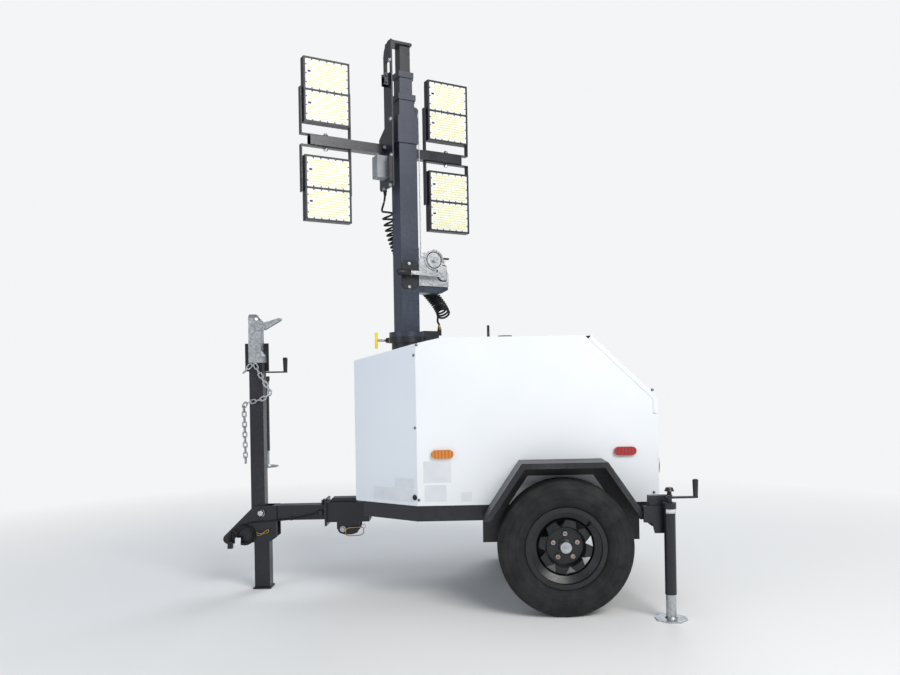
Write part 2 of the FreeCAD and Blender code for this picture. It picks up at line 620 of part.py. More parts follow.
def make_wheel(side, sign):
    """Tyre, steel wheel and hub of one side, turned about Y and then placed."""
    at = (D.axle_at, wheel_mid * sign, wheel_z)
    facing = 0 if sign > 0 else 180
    half = D.tyre_wide * 0.5
    top = D.tyre_dia * 0.5
    seat = D.bead_dia * 0.5
    bead = D.rim_wide * 0.5
    lip = D.rim_flange
    shoulder = top - 22
    belly = seat + (top - seat) * 0.5
    tyre_lines = [
        (seat, -bead + 2.3), (seat + lip + 0.3, -bead + 2.3), (seat + lip + 9, -bead - 9), (belly, -half),
        (shoulder, -half + 6), (top, -half + 26), (top, half - 26), (shoulder, half - 6), (belly, half),
        (seat + lip + 9, bead + 9), (seat + lip + 0.3, bead - 2.3), (seat, bead - 2.3), (seat, bead - 22),
        (seat + lip + 4, bead - 16), (belly, half - D.tyre_wall), (top - D.tread_thick, half - 34),
        (top - D.tread_thick, -half + 34), (belly, -half + D.tyre_wall),
        (seat + lip + 4, -bead + 16), (seat, -bead + 22)]
    tyre = turned([tyre_lines], name=f"tyre_{side}")
    node(place(tyre, at, (0, 0, 1), facing), f"tyre_{side}")

    wall = D.rim_wall
    well = seat - D.rim_well
    disc_face = D.disc_dish
    back = wall * 0.57
    barrel = [
        (seat + lip, -bead - 2), (seat + lip, -bead + 2), (seat - 0.2, -bead + 2), (seat - 0.2, -bead + 26),
        (well, -bead + 44), (well, bead - 44), (seat - 0.2, bead - 26), (seat - 0.2, bead - 2),
        (seat + lip, bead - 2), (seat + lip, bead + 2), (seat - wall, bead + 2), (seat - wall, bead - 26 + back),
        (well - wall, bead - 44 + back), (well - wall, -bead + 44 - back), (seat - wall, -bead + 26 - back),
        (seat - wall, -bead - 2)]
    inner_edge = well - wall
    disc = [(30, 0), (82, 0), (92, disc_face), (inner_edge - 10, disc_face - 6), (inner_edge, -6 + disc_face - 14),
            (inner_edge, disc_face - 24), (inner_edge - 14, disc_face - 12 - wall), (94, disc_face - wall - 4),
            (84, -wall - 1), (30, -wall - 1)]
    shell = fuse([turned([barrel]), turned([disc])])
    holes = []
    for k in range(int(float(D.window_count))):
        angle = 360.0 / float(D.window_count) * (k + 0.25)
        window = [(D.window_from, 0), (D.window_to, D.window_wide * 0.5), (D.window_to, D.window_wide * -0.5)]
        prism = slab("xz", [window], 90)
        holes.append(place(prism, (0, 0, 0), (0, 1, 0), angle))
    studs = [(turn("cos", 360.0 / float(D.stud_count) * k + 90) * D.stud_circle * 0.5,
              turn("sin", 360.0 / float(D.stud_count) * k + 90) * D.stud_circle * 0.5)
             for k in range(int(float(D.stud_count)))]
    for x, z in studs:
        holes.append(rod((x, -20, z), "y", D.stud_dia + 1.2, 40))
    rim = cut(shell, holes, f"rim_{side}")
    node(place(rim, at, (0, 0, 1), facing), f"rim_{side}")

    flange_back = -wall - 1 - D.seam - D.hub_flange_thick
    pieces = [rod((0, flange_back - D.hub_long, 0), "y", D.hub_dia, D.hub_long),
              rod((0, flange_back, 0), "y", D.hub_flange_dia, D.hub_flange_thick),
              rod((0, flange_back, 0), "y", 58, D.hub_flange_thick + wall + 6),
              cone((0, 4, 0), "y", D.hub_cap_dia - 4, D.hub_cap_dia - 12, D.hub_cap_long)]
    for x, z in studs:
        pieces.append(rod((x, flange_back, z), "y", D.stud_dia, D.hub_flange_thick + wall + 20))
        pieces.append(rod((x, D.seam, z), "y", D.nut_across, D.nut_long))
    bore = rod((0, flange_back - D.hub_long - 1, 0), "y", D.spindle_dia + 0.4,
               D.hub_long + D.hub_flange_thick + 2)
    hub = cut(fuse(pieces), [bore], f"hub_{side}")
    node(place(hub, at, (0, 0, 1), facing), f"hub_{side}")


def fender_line(inset, foot_z=None):
    """The fender's outline over the wheel, moved inwards, from the front knee to the rear one."""
    slope = D.fender_slope
    rise = (D.fender_foot_half - D.fender_top_half) * turn("tan", slope)
    knee_z = D.fender_top_z - rise
    top_half = D.fender_top_half - inset * turn("tan", slope * 0.5)
    top_z = D.fender_top_z - inset
    x = D.axle_at
    if foot_z is None:
        half = D.fender_foot_half - inset / turn("sin", slope)
        return [(x - half, knee_z), (x - top_half, top_z), (x + top_half, top_z), (x + half, knee_z)]
    half = D.fender_foot_half - inset
    knee_z = knee_z - inset * turn("tan", (90 - slope) * 0.5)
    return [(x - half, foot_z), (x - half, knee_z), (x - top_half, top_z),
            (x + top_half, top_z), (x + half, knee_z), (x + half, foot_z)]


def make_fender(side, sign):
    """Folded fender: a band and an outer lip over the wheel, and a back plate on the enclosure."""
    inner_y = D.body_half + D.seam
    outer_y = D.body_half + D.fender_wide
    wall = D.fender_wall

    def layer(inset, depth, from_y, foot_z=None):
        lines = fender_line(0, foot_z) + fender_line(inset, foot_z)[::-1]
        return slab("xz", [lines], depth, (0, (from_y + depth * 0.5) * sign, 0))

    pieces = [layer(wall, outer_y - inner_y, inner_y), layer(D.fender_lip, wall, outer_y - wall),
              layer(D.fender_flange, wall, inner_y, D.fender_foot_z)]
    node(fuse(pieces, f"fender_{side}"), f"fender_{side}")


def make_enclosure():
    """Sheet enclosure: floor, two sides, folded nose, roof and back, over a plain engine block."""
    wall = D.sheet_wall
    node(slab("xy", [plan(wall)], wall, (0, 0, D.floor_z + wall * 0.5), name="floor_pan"), "floor_pan")

    cos_slope = turn("cos", D.lid_slope)
    sin_slope = turn("sin", D.lid_slope)
    tan_slope = turn("tan", D.lid_slope)
    below_lid = D.lid_deep + 1
    slope_low_z = lid_knee_z - below_lid * turn("tan", (90 - D.lid_slope) * 0.5)
    under_z = D.roof_z - wall
    slope_start_x = lid_top_x + wall / tan_slope - below_lid / sin_slope
    bend_x = ridge_x + wall * turn("tan", D.nose_slope * 0.5)
    side_x = edge_x + D.seam
    side_line = [(side_x, D.floor_z), (back_x - wall, D.floor_z), (back_x - wall, rest_z),
                 (back_x - below_lid, rest_z), (back_x - below_lid, slope_low_z), (slope_start_x, under_z),
                 (bend_x, under_z), (side_x, roof_under(side_x))]
    for side, sign in SIDES:
        name = f"panel_{side}"
        node(slab("xz", [side_line], wall, (0, (D.body_half - wall * 0.5) * sign, 0), name=name), name)

    outer = plan(0)
    inner = plan(wall)
    nose_line = [(edge_x, D.body_half), outer[4], outer[5], outer[0], outer[1], (edge_x, -D.body_half),
                 inner[1], inner[0], inner[5], inner[4]]
    tall = D.roof_z - D.floor_z
    nose = slab("xy", [nose_line], tall, (0, 0, D.floor_z + tall * 0.5))
    low_x, high_x = front_x - 10, corner_x + 20
    under_nose = [(low_x, D.floor_z - 1), (high_x, D.floor_z - 1), (high_x, roof_under(high_x)),
                  (low_x, roof_under(low_x))]
    node(common(nose, slab("xz", [under_nose], D.body_half * 2 + 10), "nose_panel"), "nose_panel")

    roof_end = lid_top_x - D.knuckle_dia * 0.5 - 1
    roof_line = [(low_x, roof_under(low_x) + wall / turn("cos", D.nose_slope)), (ridge_x, D.roof_z),
                 (roof_end, D.roof_z), (roof_end, under_z), (bend_x, under_z), (low_x, roof_under(low_x))]
    strip = slab("xz", [roof_line], D.body_half * 2)
    stamp = slab("xy", [plan(0)], D.roof_z * 2, (0, 0, D.roof_z))
    socket_hole = rod((mast_x, 0, D.floor_z), "z", D.socket_dia + 2, D.roof_z)
    node(cut(common(strip, stamp), [socket_hole], "roof"), "roof")

    back = box((back_x - wall, -D.body_half, D.floor_z), (wall, D.body_half * 2, rest_z - D.floor_z))
    louvre_half = D.body_half - D.louvre_margin
    slots = [box((back_x - wall - 1, -louvre_half, D.floor_z + D.louvre_low + D.louvre_pitch * k),
                 (wall + 2, louvre_half * 2, D.louvre_tall)) for k in range(int(float(D.louvre_count)))]
    node(cut(back, slots, "rear_panel"), "rear_panel")

    desk = D.desk_deep
    desk_top = (lid_top_x - desk * sin_slope, D.roof_z - desk * cos_slope)
    desk_foot = (back_x - desk, lid_knee_z - desk * turn("tan", (90 - D.lid_slope) * 0.5))
    head_x = slope_start_x - wall
    desk_line = [(head_x, under_z), desk_top, desk_foot, (back_x - desk, rest_z),
                 (back_x - wall, rest_z), (back_x - wall, rest_z - wall), (back_x - desk - wall, rest_z - wall),
                 (back_x - desk - wall, desk_foot[1] - 1), (desk_top[0] - wall, desk_top[1] - 1),
                 (head_x - wall, under_z)]
    node(slab("xz", [desk_line], D.body_half * 2 - wall * 2, name="control_panel"), "control_panel")

    node(box((D.axle_at - D.engine_long * 0.6, -D.engine_half, D.floor_z + wall),
             (D.engine_long, D.engine_half * 2, D.engine_tall), "engine_block"), "engine_block")


def lid_line(inset):
    """The lid's folded outline, moved inwards, from its hinge edge to its lower lip."""
    cos_slope = turn("cos", D.lid_slope)
    sin_slope = turn("sin", D.lid_slope)
    knee = lid_knee_z - inset * turn("tan", (90 - D.lid_slope) * 0.5)
    return [(lid_top_x - inset * sin_slope, D.roof_z - inset * cos_slope), (back_x - inset, knee),
            (back_x - inset, D.lid_lip_z)]


def make_lid():
    """Lid over the controls: a tray with folded edges, its hinge along the roof, and its pull."""
    wall = D.sheet_wall
    tray = slab("xz", [lid_line(0) + lid_line(D.lid_deep)[::-1]], D.body_half * 2)
    hollow = slab("xz", [lid_line(wall) + lid_line(D.lid_deep + 2)[::-1]], (D.body_half - wall) * 2)
    knuckle = rod((lid_top_x, -D.body_half, D.roof_z), "y", D.knuckle_dia, D.body_half * 2)
    pull = box((back_x, D.pull_wide * -0.5, D.lid_lip_z + 4), (D.pull_deep, D.pull_wide, D.pull_deep))
    node(fuse([cut(tray, [hollow]), knuckle, pull], "control_lid"), "control_lid")


def make_receiver():
    """Sleeve on the frame with its mouth flange, wedge on top and hanger below."""
    bore = D.bar_side + D.seam * 2
    side = bore + D.sleeve_wall * 2
    mouth_x = D.axle_at - D.sleeve_front
    long = D.sleeve_front - D.frame_front + D.rail_inset
    over = side + D.sleeve_flange_over * 2
    top = D.bar_mid_z + side * 0.5
    under = D.bar_mid_z - side * 0.5
    sleeve = tube_x(mouth_x, 0, D.bar_mid_z, side, D.sleeve_wall, long)
    flange = cut(block((mouth_x + D.sleeve_flange * 0.5, 0, D.bar_mid_z), (D.sleeve_flange, over, over)),
                 [box((mouth_x - 1, bore * -0.5, D.bar_mid_z - bore * 0.5), (D.sleeve_flange + 2, bore, bore))])
    wedge_x = mouth_x + D.sleeve_flange * 2
    wedge = slab("xz", [[(wedge_x, top), (wedge_x + 16, top + 20), (wedge_x + 140, top + 20), (wedge_x + 140, top)]],
                 D.bar_side)
    lobe_x = mouth_x + D.sleeve_flange * 6
    long = D.lobe_long
    low = under - D.lobe_deep
    lobe = [(lobe_x, under), (lobe_x, low + 32), (lobe_x + 13, low + 9), (lobe_x + 40, low),
            (lobe_x + long - 40, low), (lobe_x + long - 13, low + 9), (lobe_x + long, low + 32), (lobe_x + long, under)]
    lobes = [slab("xz", [lobe], D.lobe_thick, (0, (side - D.lobe_thick) * 0.5 * sign, 0)) for name, sign in SIDES]
    bolts = [rod((lobe_x + run, side * -0.5 - 6, low + 34), "y", 20, side + 12) for run in (31, 91)]
    node(fuse([sleeve, flange, wedge] + lobes + bolts, "receiver"), "receiver")


def make_drawbar():
    """Drawbar with the hinge's side plates and its cable gland, and the drop leg between the plates."""
    bar_front = pivot_x + tongue_side * 0.5 + 24
    bar_end = frame_front_x + D.rail_inset - 4
    half = D.bar_side * 0.5
    tube = tube_x(bar_front, 0, D.bar_mid_z, D.bar_side, D.bar_wall, bar_end - bar_front)
    top = D.bar_mid_z + half
    tip_x = pivot_x - 170
    tip_z = D.leg_pivot_z - 23
    tip = D.tip_round
    cheek = [(pivot_x - 36, top), (tip_x - tip * 0.78, tip_z + tip * 0.628), (tip_x, tip_z - tip),
             (pivot_x - 53, tip_z - tip + 4), (pivot_x + 50, tip_z - tip + 10), (pivot_x + 81, tip_z + 6),
             (pivot_x + 81, top)]
    holes = [(pivot_x, pivot_z, D.pivot_dia * 0.5 + 0.2), (pivot_x, D.leg_pivot_z, D.pin_dia * 0.5 + 0.2)]
    pieces = [tube, rod((tip_x, -cheek_out - 8, tip_z), "y", D.pin_dia, cheek_out * 2 + 16)]
    for side, sign in SIDES:
        mid_y = (half + D.cheek_thick * 0.5) * sign
        pieces.append(slab("xz", [cheek], D.cheek_thick, (0, mid_y, 0), holes))
        pieces.append(rod((tip_x, mid_y - D.cheek_thick * 0.5, tip_z), "y", tip * 2, D.cheek_thick))
    gland_x = pivot_x + 297.5
    pieces.append(box((gland_x, -half - 19, pivot_z - 18), (20, 19, 24)))
    for run, z in ((240, 363), (150, 352)):
        pieces.append(box((pivot_x + run, -half - D.cheek_thick, z), (14, D.cheek_thick, 17)))
    for y in (-22, 22):
        pieces.append(rod((D.axle_at - D.sleeve_front - 14, y, top), "z", 18, 22))
    node(fuse(pieces, "drawbar"), "drawbar")

    leg_top = D.leg_pivot_z + D.leg_over_pin
    leg = cut(bar((pivot_x, 0, D.leg_foot), (D.leg_side, tongue_side, leg_top - D.leg_foot)),
              [bar((pivot_x, 0, D.leg_foot - 1), (D.leg_side - D.leg_wall * 2, tongue_side - D.leg_wall * 2, leg_top))])
    foot_side = D.leg_side + 14
    foot = bar((pivot_x, 0, 0), (foot_side, foot_side, D.leg_foot))
    pin = rod((pivot_x, -cheek_out - D.bolt_out, D.leg_pivot_z), "y", D.pin_dia, (cheek_out + D.bolt_out) * 2)
    node(fuse([leg, foot, pin], "front_leg"), "front_leg")


def make_tongue():
    """Folding tongue with its pivot bolt and the plate and peg that carry its jack."""
    half = tongue_side * 0.5
    low = pivot_z - half
    beam = tube_z(tongue_x, 0, low, tongue_side, D.tongue_wall, tongue_top - low)
    reach = cheek_out + D.bolt_out
    bolt = rod((pivot_x, -reach, pivot_z), "y", D.pivot_dia, reach * 2)
    heads = [rod((pivot_x, y, pivot_z), "y", D.pivot_dia * 1.7, 10) for y in (-reach, reach - 10)]
    coupler_low = tongue_top - D.coupler_lap
    spacer = box((tongue_x - half, half, coupler_low - 44), (tongue_side, D.coupler_wall + D.seam, 40))
    plate_y = half + D.coupler_wall + D.seam
    plate = box((tongue_x - D.plate_long * 0.6, plate_y, coupler_low - 44), (D.plate_long, D.plate_thick, D.plate_tall))
    peg_end = D.tongue_jack_off - D.jack_tube_dia * 0.5 - D.swivel_plate
    peg = rod((tongue_x, half, D.tongue_jack_pivot), "y", D.swivel_dia, peg_end - half)
    node(fuse([beam, bolt, spacer, plate, peg] + heads, "tongue_beam"), "tongue_beam")


def make_coupler():
    """Stamped ball coupler: a channel that narrows to the round ball socket, and its lever."""
    wall = D.coupler_wall
    half = tongue_side * 0.5
    low = tongue_top - D.coupler_lap
    ball_z = low + D.coupler_long
    ball_x = tongue_x - 9
    mouth_x = tongue_x - half - 1
    reach = D.coupler_round

    def channel(inset, over):
        back = [(tongue_x + half + wall - inset, low - over), (tongue_x + half + wall - inset, tongue_top + 10 - inset * 0.5),
                (tongue_x + half - 8 - inset, tongue_top + 34 - inset * 0.5), (tongue_x + half - 8 - inset, ball_z)]
        side_view = [(mouth_x - over, low - over)] + back + [(mouth_x - over, ball_z)]
        wide = half + wall - inset
        narrow = reach - 2 - inset
        front_view = [(-wide, low - over - 1), (wide, low - over - 1), (wide, tongue_top + 30), (narrow, ball_z - 30),
                      (narrow, ball_z + 1), (-narrow, ball_z + 1), (-narrow, ball_z - 30), (-wide, tongue_top + 30)]
        deep = (half + wall) * 2 + 10
        return common(slab("xz", [side_view], deep), slab("yz", [front_view], 400, (tongue_x, 0, 0)))

    ball = doc.addObject("Part::Sphere", helper_name("ball"))
    bind(ball, Radius=reach)
    place(ball, (ball_x, 0, ball_z))
    collar = rod((mouth_x, 0, ball_z), "x", reach * 2, ball_x - mouth_x)
    hollow = doc.addObject("Part::Sphere", helper_name("hollow"))
    bind(hollow, Radius=D.ball_dia * 0.5)
    place(hollow, (ball_x, 0, ball_z))
    before_x = ball_x - reach - 1
    mouth = rod((before_x, 0, ball_z), "x", D.ball_dia, ball_x - before_x)
    face = rod((before_x, 0, ball_z), "x", reach * 2 + 2, mouth_x - before_x)
    shell = cut(fuse([channel(0, 0), ball]), [channel(wall, 1), hollow, mouth, face])
    rim = cut(collar, [hollow, mouth])
    lever_x = tongue_x + half - 12
    long = D.lever_long
    lever = slab("xz", [[(lever_x, ball_z - 49), (lever_x, ball_z - 15), (lever_x + long - 8, ball_z + 13),
                         (lever_x + long, ball_z + 9), (lever_x + long, ball_z + 1), (lever_x + 20, ball_z - 49)]], 30)
    lever_room = slab("xz", [[(lever_x + 6, ball_z - 50), (lever_x + 6, ball_z - 22), (lever_x + long - 14, ball_z + 6),
                              (lever_x + long + 2, ball_z - 2), (lever_x + 22, ball_z - 60)]], 24)
    bolt_y = half + wall + 7
    bolt = rod((tongue_x - 1, -bolt_y, tongue_top + 33), "y", 14, bolt_y + half + wall)
    node(fuse([shell, rim, cut(lever, [lever_room]), bolt], "coupler"), "coupler")


def jack_pieces(low_z):
    """The fixed half of a crank jack about its own axis: tube, head, crank and grip."""
    dia = D.jack_tube_dia
    top = low_z + D.jack_tube_long
    outer = rod((0, 0, low_z), "z", dia, D.jack_tube_long)
    bore = rod((0, 0, low_z - 1), "z", D.jack_inner_dia + 1, D.jack_tube_long - 8)
    head = rod((0, 0, top - 26), "z", dia + 8, 26)
    neck = rod((0, 0, top - 1), "z", 22, D.jack_neck + 2)
    arm_z = top + D.jack_neck + D.crank_thick * 0.5
    long = D.crank_long
    arm = slab("xy", [[(-14, -12), (long, -9), (long + 10, -5), (long + 10, 5), (long, 9), (-14, 12)]],
               D.crank_thick, (0, 0, arm_z))
    hub = rod((0, 0, arm_z), "z", 20, D.crank_thick)
    grip_z = arm_z + D.crank_thick * 0.5
    grip = cone((long, 0, grip_z), "z", D.grip_dia * 0.8, D.grip_dia, D.grip_long)
    knob = cone((long, 0, grip_z + D.grip_long), "z", D.grip_dia, D.grip_dia * 0.7, 4)
    return [cut(fuse([outer, head]), [bore]), neck, arm, hub, grip, knob]


def jack_foot(low_z, show):
    """The moving half of a jack: inner tube on an eight-sided foot plate."""
    side = D.foot_side * 0.5
    corner = D.foot_side * 0.2071
    plate = slab("xy", [[(-side, -corner), (-corner, -side), (corner, -side), (side, -corner),
                         (side, corner), (corner, side), (-corner, side), (-side, corner)]],
                 D.foot_thick, (0, 0, low_z + D.foot_thick * 0.5))
    tube = rod((0, 0, low_z + D.foot_thick - 1), "z", D.jack_inner_dia, show + D.jack_inside - D.foot_thick)
    weld = cone((0, 0, low_z + D.foot_thick - 1), "z", D.jack_inner_dia + 14, D.jack_inner_dia, 8)
    return [plate, tube, weld]


def make_jacks():
    """Outrigger, jack and foot on each side at the back, and the jack beside the tongue."""
    jack_x = back_x - D.jack_ahead
    jack_half = D.body_half + D.jack_out
    out_x = D.axle_at + D.outrigger_back
    out_z = rail_bottom_z - D.holder_drop + D.rail_wall + 0.5 + D.outrigger_side * 0.5
    plate_thick = D.swivel_plate
    peg_long = D.swivel_plate
    for side, sign in SIDES:
        start_y = D.outrigger_start
        end_y = jack_half - D.jack_tube_dia * 0.5 - peg_long - plate_thick
        tube = tube_y(out_x, start_y if sign > 0 else -end_y, out_z, D.outrigger_side, D.outrigger_wall, end_y - start_y)
        plate_y = (end_y + plate_thick * 0.5) * sign
        plate = [(out_x - 62, out_z + 66), (out_x - 62, out_z - 6), (out_x - 24, out_z - 10), (out_x - 13, out_z - 55),
                 (jack_x - 6, out_z - 55), (jack_x + 22, out_z - 30), (jack_x + 22, out_z + 40), (jack_x + 6, out_z + 66)]
        web = slab("xz", [plate], plate_thick, (0, plate_y, 0))
        peg_y = end_y + plate_thick - 1 if sign > 0 else -end_y - plate_thick - peg_long
        peg = rod((jack_x, peg_y, D.swivel_z), "y", D.swivel_dia, peg_long + 1)
        housing = block((out_x + 6, (end_y - 20) * sign, out_z + 86), (84, 40, 46))
        post = block((out_x + 6, (end_y - 20) * sign, out_z + 48), (60, 40, 46))
        knob_z = out_z + 108
        knob = fuse([rod((jack_x + 17, (end_y - 20) * sign, knob_z), "z", 20, 18),
                     cone((jack_x + 17, (end_y - 20) * sign, knob_z + 18), "z", 44, 30, 16)])
        arm = block((jack_x - 2, (end_y - 20) * sign, knob_z - 4), (60, 24, 12))
        node(fuse([tube, web, peg, housing, post, knob, arm], f"outrigger_{side}"), f"outrigger_{side}")
        at = (jack_x, jack_half * sign, 0)
        node(place(fuse(jack_pieces(D.jack_low), f"jack_{side}"), at), f"jack_{side}")
        node(place(fuse(jack_foot(0, D.jack_low), f"jack_foot_{side}"), at), f"jack_foot_{side}")
    at = (tongue_x, D.tongue_jack_off, 0)
    low = D.tongue_jack_low
    boss_y = -D.jack_tube_dia * 0.5 - D.swivel_plate + D.seam
    boss = rod((0, boss_y, D.tongue_jack_pivot), "y", D.swivel_dia + 16, D.swivel_plate + 2)
    boss_bore = rod((0, 0, low), "z", D.jack_inner_dia + 1, D.jack_tube_long)
    body = fuse(jack_pieces(low + D.tongue_jack_show) + [cut(boss, [boss_bore])], "tongue_jack")
    node(place(body, at), "tongue_jack")
    node(place(fuse(jack_foot(low, D.tongue_jack_show), "tongue_jack_foot"), at), "tongue_jack_foot")


def on_mast(piece, name):
    """A sub-part built about the mast axis, turned with the mast."""
    return node(place(piece, (mast_x, 0, 0), (0, 0, 1), D.mast_turn), name)


def make_cord_bracket(base_z):
    """Block on the turning ring, with the gland that holds the foot of the curly cord."""
    block_u = D.ring_dia * 0.5 + D.turn_gap
    block_top = D.ring_top_z + D.gland_over
    junction = box((block_u, D.gland_wide * -0.5, block_top - D.gland_tall),
                   (D.gland_end - block_u, D.gland_wide, D.gland_tall))
    neck_u = D.ring_dia * 0.4
    neck = box((neck_u, D.gland_wide * -0.5, base_z), (block_u - neck_u + 1, D.gland_wide, block_top - base_z))
    gland_u = D.gland_end + D.gland_dia * 0.5 + D.gland_off
    gland_z = D.ring_top_z - D.gland_drop
    gland = rod((gland_u, 0, gland_z), "z", D.gland_dia, D.gland_long)
    gland_foot = box((D.gland_end - 1, D.gland_dia * -0.4, gland_z),
                     (gland_u - D.gland_end + 1, D.gland_dia * 0.8, D.gland_long * 0.5))
    ring_room = rod((0, 0, base_z - 1), "z", D.ring_dia + D.seam * 2, D.gland_tall)
    on_mast(cut(fuse([junction, neck, gland, gland_foot]), [ring_room]), "cord_bracket")


def make_mast():
    """Socket with its lock pin, foot bearing, turning outer tube with its collar, and inner tubes."""
    socket_top = D.ring_top_z - D.ring_tall
    socket_low = socket_top - D.skirt_tall - D.sleeve_drop
    sleeve = rod((mast_x, 0, socket_low), "z", D.socket_dia, socket_top - socket_low)
    skirt = rod((mast_x, 0, socket_top - D.skirt_tall), "z", D.ring_dia, D.skirt_tall)
    bore = rod((mast_x, 0, socket_low - 1), "z", D.socket_dia - D.socket_wall * 2, socket_top - socket_low + 2)
    node(cut(fuse([sleeve, skirt]), [bore], "mast_socket"), "mast_socket")
    bearing_z = D.floor_z + D.sheet_wall
    node(rod((mast_x, 0, bearing_z), "z", D.socket_dia, D.mast_foot_z - D.seam - bearing_z, "mast_bearing"), "mast_bearing")

    pin_z = socket_top - D.skirt_tall * 0.5
    boss_x = mast_x - D.ring_dia * 0.5 - D.pin_boss_long
    skirt_room = rod((mast_x, 0, socket_top - D.skirt_tall - 1), "z", D.ring_dia + D.seam * 2, D.skirt_tall + 2)
    boss = cut(cone((boss_x, 0, pin_z), "x", D.pin_boss_dia, D.skirt_tall, D.pin_boss_long + 2), [skirt_room])
    handle_x = mast_x - D.pin_reach
    stem = rod((handle_x, 0, pin_z), "x", D.pin_stem_dia, boss_x - handle_x + 1)
    handle = rod((handle_x, 0, pin_z - D.pin_handle_long * 0.5), "z", D.pin_handle_dia, D.pin_handle_long)
    node(fuse([boss, stem, handle], "mast_pin"), "mast_pin")

    base_z = socket_top + D.seam
    half = D.mast_side * 0.5
    ring = rod((0, 0, base_z), "z", D.ring_dia, D.ring_top_z - base_z)
    tube = tube_z(0, 0, D.mast_foot_z, D.mast_side, D.mast_wall, D.mast_top_z - D.mast_foot_z)
    collar_side = D.mast_side + D.collar_wall * 2
    collar = bar((0, 0, D.mast_top_z - D.collar_lap), (collar_side, collar_side, D.collar_tall + D.collar_lap))
    bracket_low = D.winch_base_z
    bracket = slab("xz", [[(half - 1, bracket_low), (D.winch_base_end - 40, bracket_low), (D.winch_base_end, bracket_low + 20),
                           (D.winch_base_end, bracket_low + D.winch_base_tall), (half - 1, bracket_low + D.winch_base_tall)]],
                   D.winch_wide - 14)
    pulley_u = rope_u - D.pulley_dia * 0.5 - D.rope_dia * 0.5 - D.seam
    pulley_foot = D.mast_top_z + D.collar_tall - 40
    ears = [box((collar_side * 0.5 - 1, D.rope_off + y, pulley_foot), (30, 4, D.pulley_z + 12 - pulley_foot)) for y in (-11, 7)]
    pulley = rod((pulley_u, D.rope_off - 5, D.pulley_z), "y", D.pulley_dia, 10)
    axle_pin = rod((pulley_u, D.rope_off - 14, D.pulley_z), "y", 10, 28)
    web = box((collar_side * 0.5 - 1, D.rope_off - 11, pulley_foot), (12, 22, 30))
    bore_side = D.mast_side - D.mast_wall * 2
    core = bar((0, 0, D.mast_foot_z - 1), (bore_side, bore_side, D.mast_top_z - D.mast_foot_z))
    guide_side = D.mast_side - D.mast_step + D.seam * 2
    guide = bar((0, 0, D.mast_top_z - D.collar_lap - 1), (guide_side, guide_side, D.collar_tall + D.collar_lap + 2))
    solid = fuse([ring, tube, collar, bracket, pulley, axle_pin, web] + ears)
    on_mast(cut(solid, [core, guide]), "mast_outer")
    make_cord_bracket(base_z)

    top = D.mast_top_z + D.collar_tall
    foot = D.mast_foot_z + D.stage_floor
    for k, name in ((1, "mast_stage_2"), (2, "mast_stage_3"), (3, "mast_stage_4")):
        stage_side = D.mast_side - D.mast_step * k
        stage_top = top + D.stage_show * k if k < 3 else head_top_z - D.cap_thick
        stage_foot = foot + D.stage_floor * (k - 1)
        if k < 3:
            tube = bar((0, 0, stage_foot), (stage_side, stage_side, stage_top - stage_foot))
            lid_side = stage_side + D.stage_collar_wall * 2
            lid = bar((0, 0, stage_top - D.stage_collar), (lid_side, lid_side, D.stage_collar))
            tab = box((lid_side * 0.5 - 1, -12, stage_top - D.stage_collar), (14, 24, D.stage_collar + 8))
            bore_side = stage_side - D.mast_wall * 2
            core = bar((0, 0, stage_foot - 1), (bore_side, bore_side, stage_top - stage_foot - 9))
            guide_side = stage_side - D.mast_step + D.seam * 2
            guide = bar((0, 0, stage_foot), (guide_side, guide_side, stage_top))
            on_mast(cut(fuse([tube, lid, tab]), [core, guide]), name)
        else:
            head = tube_z(0, 0, stage_foot, stage_side, D.mast_wall, stage_top - stage_foot)
    return head


def make_winch():
    """Hand winch on the mast: side plates, drum with its rope up to the pulley, shaft and crank."""
    half = D.winch_wide * 0.5
    base = D.winch_base_z + D.winch_base_tall
    back_u = D.mast_side * 0.5 + D.seam
    plate = [(back_u, base), (D.winch_base_end, base), (D.winch_base_end, base + 66), (D.winch_u + 48, base + 156),
             (back_u + 22, base + 156), (back_u, base + 130)]
    bracket = box((back_u, -half, base), (D.winch_plate, half * 2, 200))
    pieces = [bracket]
    for y in (-half + D.winch_plate * 0.5, half - D.winch_plate * 0.5):
        pieces.append(slab("xz", [plate], D.winch_plate, (0, y, 0)))
    pieces.append(rod((D.winch_u, -half, D.winch_z), "y", D.winch_core_dia, half * 2))
    for y in (-half - 3, half):
        pieces.append(rod((D.winch_u, y, D.winch_z), "y", D.winch_drum_dia, 3))
    pieces.append(rod((D.winch_u, -half - 12, D.winch_z), "y", 24, half * 2 + 24))
    shaft_y = -half - 40
    pieces.append(rod((D.winch_shaft_u, shaft_y, D.winch_shaft_z), "y", 16, half * 2 + 44))
    pieces.append(rod((D.winch_shaft_u, -half, D.winch_shaft_z), "y", 44, half * 2))
    crank_end = D.winch_shaft_u - D.winch_crank
    crank = [(D.winch_shaft_u + 14, D.winch_shaft_z - 12), (D.winch_shaft_u + 14, D.winch_shaft_z + 12),
             (crank_end, D.winch_shaft_z + 14), (crank_end, D.winch_shaft_z - 4)]
    pieces.append(slab("xz", [crank], 8, (0, shaft_y + 2, 0)))
    pieces.append(rod((crank_end - 68, shaft_y + 2, D.winch_shaft_z + 4), "x", D.winch_grip_dia, 80))
    pieces.append(rod((rope_u, D.rope_off, D.winch_z), "z", D.rope_dia, D.pulley_z - D.winch_z))
    on_mast(fuse(pieces), "winch")


